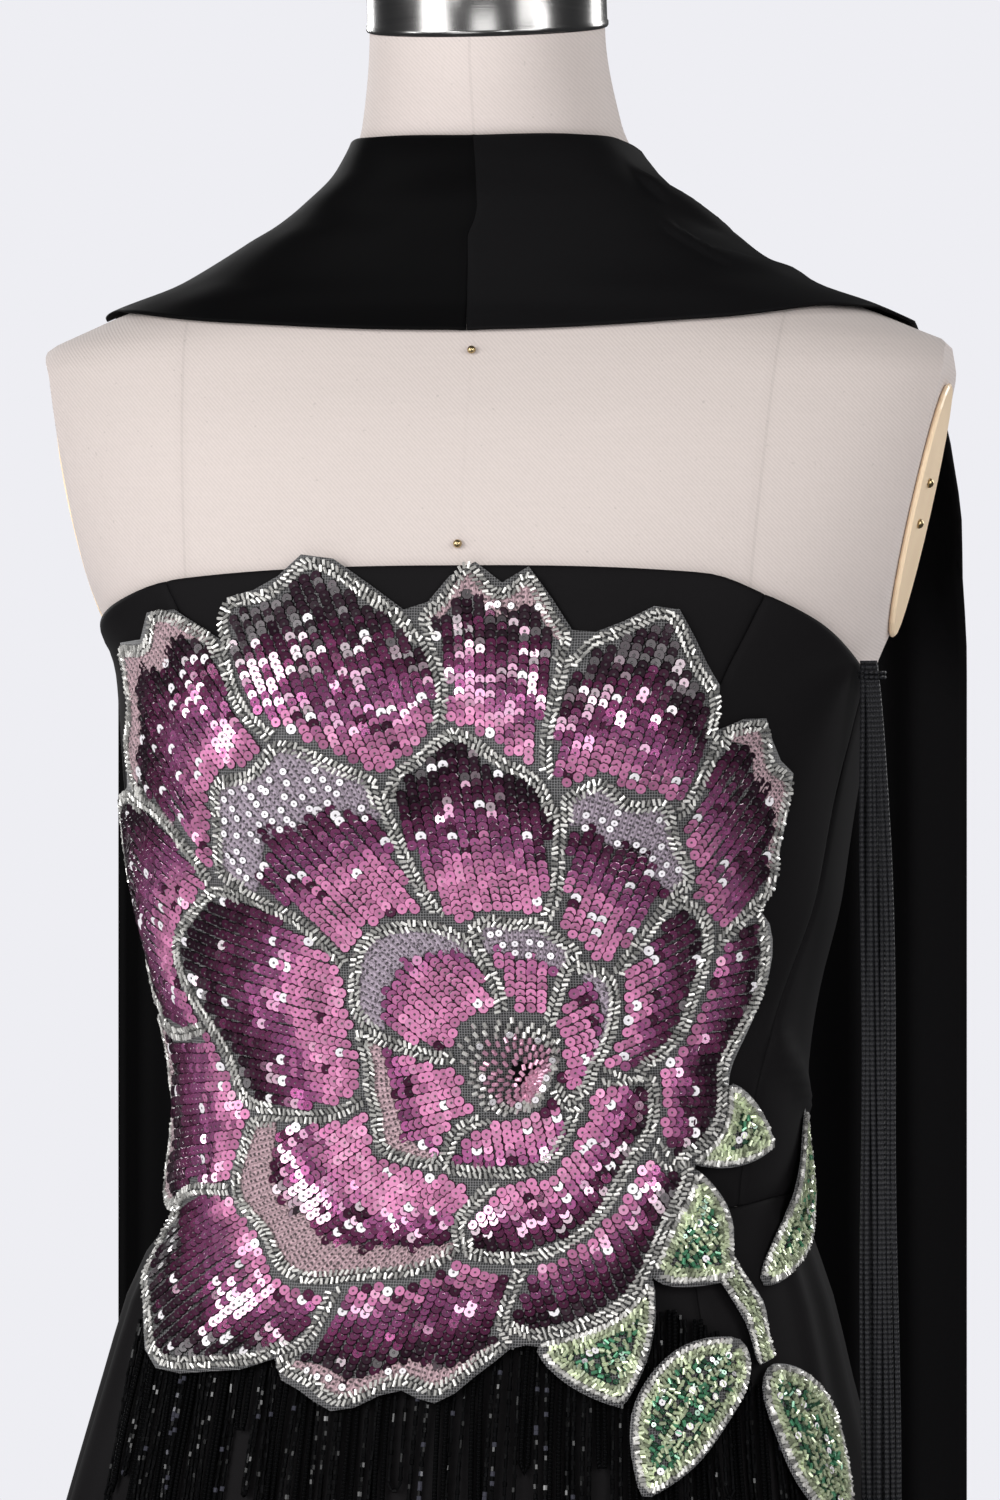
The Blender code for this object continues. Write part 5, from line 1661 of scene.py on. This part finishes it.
def make_fringe(bead, cord):
    """Strings of cut beads and fine ribbed cords, looped in pairs below the bloom."""
    rng = np.random.default_rng(40)
    heap = Heap()
    turns = np.arange(FRINGE_FROM, FRINGE_TO, FRINGE_PITCH)
    for index in range(0, len(turns) - 1, 2):
        left, right = turns[index] + rng.normal(0, 0.15), turns[index + 1] + rng.normal(0, 0.15)
        path = string_path(index, left, right, rng)
        if index // 2 % 5 in (1, 3):
            path = spaced(path, 0.0048)
            normal = unit(path * np.array([1, 1, 0]))
            tubes(heap, path[None], normal[None], FRINGE_CORD_RADIUS, 6, 1)
        else:
            thread_beads(heap, path, index % 3 == 0, rng)
    obj = heap.make("fringe_of_beads_and_cords", [bead, cord])
    finish_piece(obj, "beads_black", "bead_fringe")


def make_hank(cord):
    """Knitted cords hanging together below the left arm, bound at the top."""
    rng = np.random.default_rng(5)
    heap = Heap()
    levels = np.linspace(HANK_TOP + 0.003, HANK_END, 90)
    down = (levels[0] - levels) / (levels[0] - HANK_END)
    turns = HANK_TURN + 5 * down + np.linspace(-2.2, 2.2, 5)[:, None]
    surface = moved_out(gown_inside, turns, levels[None, :], CLOTH + 0.0008)
    inner = np.maximum.accumulate(surface[..., 0].max(axis=0))
    middle = surface[2, 0, 1]
    paths, normals = [], []
    for number in range(HANK_CORDS):
        column, row = number % 7, number // 7
        wide = 0.0050 + 0.0066 * (1 - np.exp(-12 * down)) + 0.0056 * down
        x = inner + 0.0010 + (column + 0.5 * row) / 6 * wide
        x = x + 0.0005 * smooth_step(down * 9) * np.sin(levels * rng.uniform(20, 34) + rng.uniform(0, 6))
        y = middle + (row - 0.5) * 0.0036 + 0.0012 * np.sin(levels * rng.uniform(9, 15) + rng.uniform(0, 6))
        paths.append(np.stack([x, y, levels], axis=-1))
        normals.append(np.tile([0.0, -1.0, 0.0], (len(levels), 1)))
    tubes(heap, np.array(paths), np.array(normals), HANK_CORD_RADIUS, 8, turns=2.0)
    ring = np.linspace(0, 2 * math.pi, 20)
    for level in (HANK_TOP - 0.002, HANK_TOP - 0.004):
        at = float(np.interp(-level, -levels, inner))
        x = at + 0.0048 + 0.0054 * np.cos(ring)
        y = middle + 0.0046 * np.sin(ring)
        loop = np.stack([x, y, level + 0 * ring], axis=-1)
        tubes(heap, loop[None], np.tile([0.0, 0.0, 1.0], (1, 20, 1)), 0.0008, 6)
    finish_piece(heap.make("hank_of_knitted_cords", [cord]), "cords_black", "cord_hank")


# ---------------------------------------------------------------- the scarf
def scarf_inside(turn, height):
    """The inner face of the scarf over the neck and shoulders, with its soft folds."""
    turn, height = np.broadcast_arrays(turn, height)
    out = SCARF_GAP + 0 * turn
    joined = smooth_step((90 - np.abs(turn)) / 8)
    for front, side, half_width, rise in SCARF_FOLD_ROWS:
        line = front + (side - front) * np.abs(turn) / 90
        out = out + rise * joined * np.exp(-(((height - line) / half_width) ** 2))
    return moved_out(form_point, turn, height, out)


def ridge_height(side, sideways):
    """The height of a shoulder's ridge at a distance to its side."""
    heights = np.linspace(1.400, NECK_TOP, 150)
    reach = side * form_point(side * 90 + 0 * heights, heights)[:, 0]
    return float(np.interp(-sideways, -reach, heights))


def length_of_scarf(name, node, grid, finish):
    """A piece of the scarf, which lies on the outer side of a grid."""
    normal = grid_normals(grid)
    outer, inner = grid + normal * CLOTH, grid + normal * (CLOTH - SKIN)
    skin(name, node, outer, inner, finish, "scarf_crepe")


def yoke_grid(side):
    """The scarf over one side of the chest, from the throat to the shoulder's ridge."""
    low, high = sorted((side * 0.02, side * 89.9999))
    turn = (low + (high - low) * edged(58, [0.004, 0.010, 0.02]))[:, None]
    lower, upper = read_rows(SCARF_EDGE_ROWS, turn[:, 0])
    share = np.concatenate([[0, 0.012], np.linspace(0.03, 0.97, 36), [0.988, 1]])[None, :]
    height = lower[:, None] + (upper - lower)[:, None] * share
    points = scarf_inside(turn + 0 * height, height)
    middle_seam = np.exp(-((turn + 0 * height) / 0.9) ** 2)
    creases = waves(turn / 30 + share * 0.5, share * 2.0, 61 + side, 8) * 0.0003
    if side > 0:
        creases = creases + sum(crest(turn, height, *row) for row in SHOULDER_FOLDS)
        creases = creases * smooth_step((90 - turn) / 9)
    edge = smooth_step(share / 0.05) * smooth_step((1 - share) / 0.05)
    return points + grid_normals(points) * (creases * edge - 0.0005 * middle_seam)[..., None]


def fall_column(side, share):
    """A line down the back, from a share of the way out along the shoulder's ridge."""
    at_ridge = TAIL_NECK_SIDE + share * (TAIL_RIDGE_SIDES[side] - TAIL_NECK_SIDE)
    at_hem = TAIL_INNER_SIDE + share * (TAIL_OUTER_SIDES[side] - TAIL_INNER_SIDE)
    start = ridge_height(side, at_ridge) - 0.00003
    round_over = TAIL_ROUND * (1 - np.cos(np.radians(np.linspace(0, 90, 14))))
    fall = start - TAIL_ROUND - TAIL_END
    falling = start - TAIL_ROUND - fall * np.linspace(0, 1, 42)[1:] ** 1.3
    heights = np.concatenate([start - round_over, falling])
    fallen = smooth_step((start - heights) / 0.16)
    spread = smooth_step((start - heights) / TAIL_SPREAD)
    sideways = at_ridge + (at_hem - at_ridge) * spread
    off_middle = side * read_rows(SWAY_ROWS, heights)[0]
    on_form = turn_behind(FORM_ROWS, sideways - off_middle, heights)
    gap = SCARF_GAP + (TAIL_GAP - SCARF_GAP) * smooth_step((start - heights) / TAIL_ROUND)
    column = moved_out(form_point, side * on_form, heights, gap)
    on_skirt = turn_behind(GOWN_ROWS, sideways - off_middle, heights)
    bulge = folds(np.arange(100, 260, 4.0)[:, None], heights).max(axis=0)
    gown = section_point(GOWN_ROWS, on_skirt, heights)[:, 1] + CLOTH + TAIL_GAP + bulge
    resting = np.where(heights < 1.27, np.maximum(column[:, 1], gown), column[:, 1])
    hang = TAIL_HANG + 0.006 * math.sin(math.pi * 2.4 * share)
    resting = np.maximum(resting, resting * (1 - fallen) + hang * fallen)
    column[:, 0] += spread * (side * sideways - column[:, 0])
    soft = 0.004 * math.sin(11 * share + side) + 0.002 * math.sin(23 * share)
    column[:, 1] = np.maximum.accumulate(resting) + np.maximum(soft, -0.002) * fallen
    return column


def make_scarf(finishes):
    """Two lengths joined at the throat, the left one's crepe painted three times as light as the right one's:
    painted light and painted shade.

    Each is a yoke over the chest, and a fall that starts on the shoulder's ridge.
    """
    for side, name in SIDES:
        yoke = yoke_grid(side)
        length_of_scarf("scarf_yoke_" + name, "scarf_front_" + name, yoke, finishes[side])
        columns = [fall_column(side, share) for share in np.linspace(0, 1, 26)]
        fall = np.stack(columns[::-side], axis=1)
        length_of_scarf("scarf_fall_" + name, "scarf_tail_" + name, fall, finishes[side])


# ---------------------------------------------------------------- the form and its stand
def turned_solid(name, rings, finish, sharp, slot, node):
    """A solid of rings that goes up, its edges sharp from an angle in degrees."""
    rings = np.array(rings)
    heap = Heap()
    heap.add(rings.reshape(1, -1, 3), stack_faces(*rings.shape[:2]), smooth=True)
    obj = heap.make(name, [finish])
    obj.data.set_sharp_from_angle(angle=math.radians(sharp))
    finish_piece(obj, slot, node)


def make_form(linen_finish):
    """The linen torso, whose rings have corners where the arms were cut."""
    levels = np.concatenate([
        np.linspace(FORM_END, 1.27, 40),
        np.linspace(1.276, 1.400, 34),
        np.linspace(1.403, 1.500, 34),
        np.linspace(1.504, NECK_TOP, 12),
    ])
    rings = []
    for level in levels:
        half, _, _, squareness = read_rows(FORM_ROWS, level)
        rise = (level - ARMHOLE_LOW[1]) / (ARMHOLE_HIGH[1] - ARMHOLE_LOW[1])
        limit = ARMHOLE_LOW[0] + (ARMHOLE_HIGH[0] - ARMHOLE_LOW[0]) * rise if rise > -0.3 else 1
        corner = min(math.degrees(math.asin(min(1, limit / half) ** (squareness / 2))), 84)
        parts = ((0, corner, 25), (corner, 180 - corner, 9), (180 - corner, 180, 25))
        half_ring = np.concatenate([np.linspace(*part)[:-1] for part in parts])
        turns = np.concatenate([half_ring, 180 + (180 - np.append(half_ring[1:], 180)[::-1])])
        rings.append(form_point(turns, np.full_like(turns, level)))
    turned_solid("linen_torso", rings, linen_finish, 40, "form_linen", "form_torso")


def make_pins(finish):
    """The pins down the middle of the chest, and the rivets of the armhole plates."""
    heap = Heap()
    sides = 12
    rings = [ring_points(0.30, -1.4, sides), ring_points(0.30, -0.1, sides)]
    rings += [ring_points(math.sin(a), math.cos(a), sides) for a in np.linspace(math.pi / 2, 0.12, 7)]
    points, faces = np.concatenate(rings), stack_faces(len(rings), sides)
    for place in PIN_PLACES:
        turn, height = np.array(place)[:, None]
        centre = moved_out(form_point, turn, height, 0.0011)
        axes = np.stack(surface_axes(form_point, turn, height), axis=1)
        heap.add(placed(points, centre, axes, PIN_SIZE), faces, smooth=True)
    lean = math.atan2(ARMHOLE_HIGH[0] - ARMHOLE_LOW[0], ARMHOLE_HIGH[1] - ARMHOLE_LOW[1])
    for side, name in SIDES:
        middle = np.array(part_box("form_armhole_plate_" + name)).mean(axis=0)
        outward = np.array([[side * math.cos(lean), 0, -math.sin(lean)]])
        upward = np.array([[side * math.sin(lean), 0, math.cos(lean)]])
        axes = np.stack([np.cross(upward, outward), upward, outward], axis=1)
        for up, backward in RIVET_PLACES:
            centre = middle + outward * 0.0016 + upward * up + np.array([[0, backward, 0]])
            heap.add(placed(points, centre, axes, RIVET_SIZE), faces, smooth=True)
    finish_piece(heap.make("pins_and_rivets", [finish]), "form_steel")


def make_cap(steel):
    """The spun steel cap of the neck, with its rolled edge."""
    front, back = read_rows(FORM_ROWS, NECK_TOP)[1:3]
    rings = np.array([ring_points(radius, height, 96) for radius, height in CAP_PROFILE])
    lean = np.array([
        [1, 0, 0],
        [0, math.cos(NECK_TILT), math.sin(NECK_TILT)],
        [0, -math.sin(NECK_TILT), math.cos(NECK_TILT)],
    ])
    rings = rings @ lean + np.array([0, (front + back) / 2, NECK_TOP]) + lean[2] * 0.0004
    turned_solid("neck_cap", rings, steel, 50, "form_steel", "form_neck_cap")


def dress_frame():
    """The solids that stay, in better finishes."""
    cast = resin()
    finishes = {
        "form_pole": brushed_steel("pole_steel", 0.22),
        "form_armhole_plate_left": cast,
        "form_armhole_plate_right": cast,
        "form_base": powder_coat(),
    }
    for node, finish in finishes.items():
        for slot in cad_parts[node].material_slots:
            slot.material = finish


# ---------------------------------------------------------------- studio
VIEW_DISTANCE, VIEW_AZIMUTH, VIEW_LEVEL = 2.6, 8.5, 1.2313
VIEW_HEIGHT = 0.6522  # of what the frame holds, at the form's middle
# name, place, height aimed at, size, power
LIGHT_ROWS = (
    ("key", (-2.3, -2.5, 2.3), 1.15, (1.5, 2.1), 74),
    ("fill", (2.5, -2.2, 1.9), 1.10, (1.3, 1.8), 32),
    ("front", (0.3, -3.6, 2.9), 1.10, (1.4, 1.0), 18),
    ("low", (-0.8, -3.0, 0.45), 1.15, (1.5, 1.0), 13),
    ("glint_1", (-1.3, -3.2, 1.5), 1.15, (0.55, 0.7), 11),
    ("glint_2", (1.4, -3.1, 1.1), 1.15, (0.55, 0.7), 11),
    ("glint_3", (-2.9, -1.3, 1.2), 1.15, (0.55, 0.8), 12),
    ("glint_4", (2.7, -1.5, 2.7), 1.15, (0.55, 0.8), 12),
    ("back_left", (-1.9, 2.4, 2.4), 1.10, (1.0, 1.8), 45),
    ("back_right", (2.1, 2.3, 2.4), 1.10, (1.0, 1.8), 45),
)


def make_camera(scene):
    """Level, a little to the wearer's left, with the hip at the foot of the frame."""
    camera = bpy.data.objects.new("camera", bpy.data.cameras.new("camera"))
    scene.collection.objects.link(camera)
    azimuth = math.radians(VIEW_AZIMUTH)
    camera.location = (math.sin(azimuth) * VIEW_DISTANCE, -math.cos(azimuth) * VIEW_DISTANCE, VIEW_LEVEL)
    camera.rotation_euler = (math.pi / 2, 0, azimuth)
    camera.data.sensor_fit = "VERTICAL"
    camera.data.sensor_height = 36
    camera.data.lens = 36 * VIEW_DISTANCE / VIEW_HEIGHT
    camera.data.clip_end = 60
    scene.camera = camera


def make_lights(scene):
    """Soft boxes, and the smaller ones that glint in the sequins."""
    for name, place, aim, size, power in LIGHT_ROWS:
        lamp = bpy.data.objects.new(name, bpy.data.lights.new(name, "AREA"))
        lamp.data.shape = "RECTANGLE"
        lamp.data.size, lamp.data.size_y = size
        lamp.data.energy = power
        lamp.location = place
        lamp.rotation_euler = (Vector((0, 0, aim)) - Vector(place)).to_track_quat("-Z", "Y").to_euler()
        scene.collection.objects.link(lamp)


def make_world(scene):
    """A pale backdrop, which casts only a little light."""
    world = bpy.data.worlds.new("studio")
    scene.world = world
    world.use_nodes = True
    nodes, links = world.node_tree.nodes, world.node_tree.links
    nodes.clear()
    seen, cast = nodes.new("ShaderNodeBackground"), nodes.new("ShaderNodeBackground")
    seen.inputs["Color"].default_value = (*dye("eeeef3"), 1)
    cast.inputs["Color"].default_value = (0.93, 0.95, 1.0, 1)
    cast.inputs["Strength"].default_value = 0.08
    path, either = nodes.new("ShaderNodeLightPath"), nodes.new("ShaderNodeMixShader")
    output = nodes.new("ShaderNodeOutputWorld")
    links.new(path.outputs["Is Camera Ray"], either.inputs[0])
    links.new(cast.outputs[0], either.inputs[1])
    links.new(seen.outputs[0], either.inputs[2])
    links.new(either.outputs[0], output.inputs[0])


def make_floor():
    """A plain pale floor. It isn't mirrored in the sequins, whose colours it would veil."""
    finish = Finish("studio_floor", {"Roughness": 0.7})
    finish.dress({"Base Color": finish.shade(dye("e6e6ea"), 0.97 + finish.noise(finish.place(), 2.0) * 0.04)})
    floor = Heap()
    ring = ring_points(4.2, 0.0, 64)
    floor.add(ring[None], [np.arange(64)])
    ground = floor.make("floor", [finish.material])
    ground.visible_glossy = False


def main():
    scene = bpy.context.scene
    scene.view_settings.view_transform = "Standard"
    make_camera(scene)
    make_lights(scene)
    make_world(scene)
    make_floor()
    dress_frame()
    make_cap(brushed_steel("form_steel", 0.20))
    make_form(linen())
    make_pins(brass())
    black_crepe = crepe("black_crepe", (0.0070, 0.0064, 0.0069), 0.010)
    make_bodice(black_crepe)
    make_skirt(black_crepe)
    zip_metal = enamel()
    make_zip(zip_tape(), zip_metal)
    make_slider(zip_metal)
    # The left length's crepe is painted lighter than the right's: painted light on one, painted shade on the
    # other.
    make_scarf({
        1: crepe("scarf_crepe_left_painted_lit", (0.0042, 0.0040, 0.0044), 0.004),
        -1: crepe("scarf_crepe_right_painted_shaded", (0.0014, 0.0013, 0.0015), 0.005),
    })
    tulle = net()
    satin_stitch = thread()
    petal_finishes = [foil("sequin_foil", 1.0), glass_bead("silver_beads", 0.4, 0.20), satin_stitch, tulle]
    leaf_finishes = [foil("green_foil", 0.8), glass_bead("green_beads", 0.35, 0.22), satin_stitch, tulle]
    on_net = [
        make_petal(ring, index, petal_finishes)
        for ring in range(3)
        for index in range(len(RING_ROWS[ring][4]))
    ]
    on_net.append(make_core(petal_finishes))
    for number, row in enumerate(SEPAL_ROWS):
        outline, spine = sepal_drawing(*row)
        name = f"sepal_{number + 1}"
        on_net.append(make_leaf("beaded_" + name, name, outline, spine, leaf_finishes, 50 + number))
    for number, row in enumerate(LEAF_ROWS):
        outline, spine = leaf_drawing(row)
        name, lift = row[0], row[7]
        on_net.append(make_leaf("beaded_" + name, name, outline, spine, leaf_finishes, 60 + number, lift))
    on_net.append(make_stem(leaf_finishes))
    make_bloom_net(tulle)
    make_fringe(glass_bead("black_beads", 0.0, 0.30, 1.0, 0.05),
                ribbed_cord("fringe_cord", (0.0012, 0.0012, 0.0014), 0.0016, 0.04))
    make_hank(ribbed_cord("knitted_cord", (0.009, 0.009, 0.011), 0.0021))


main()
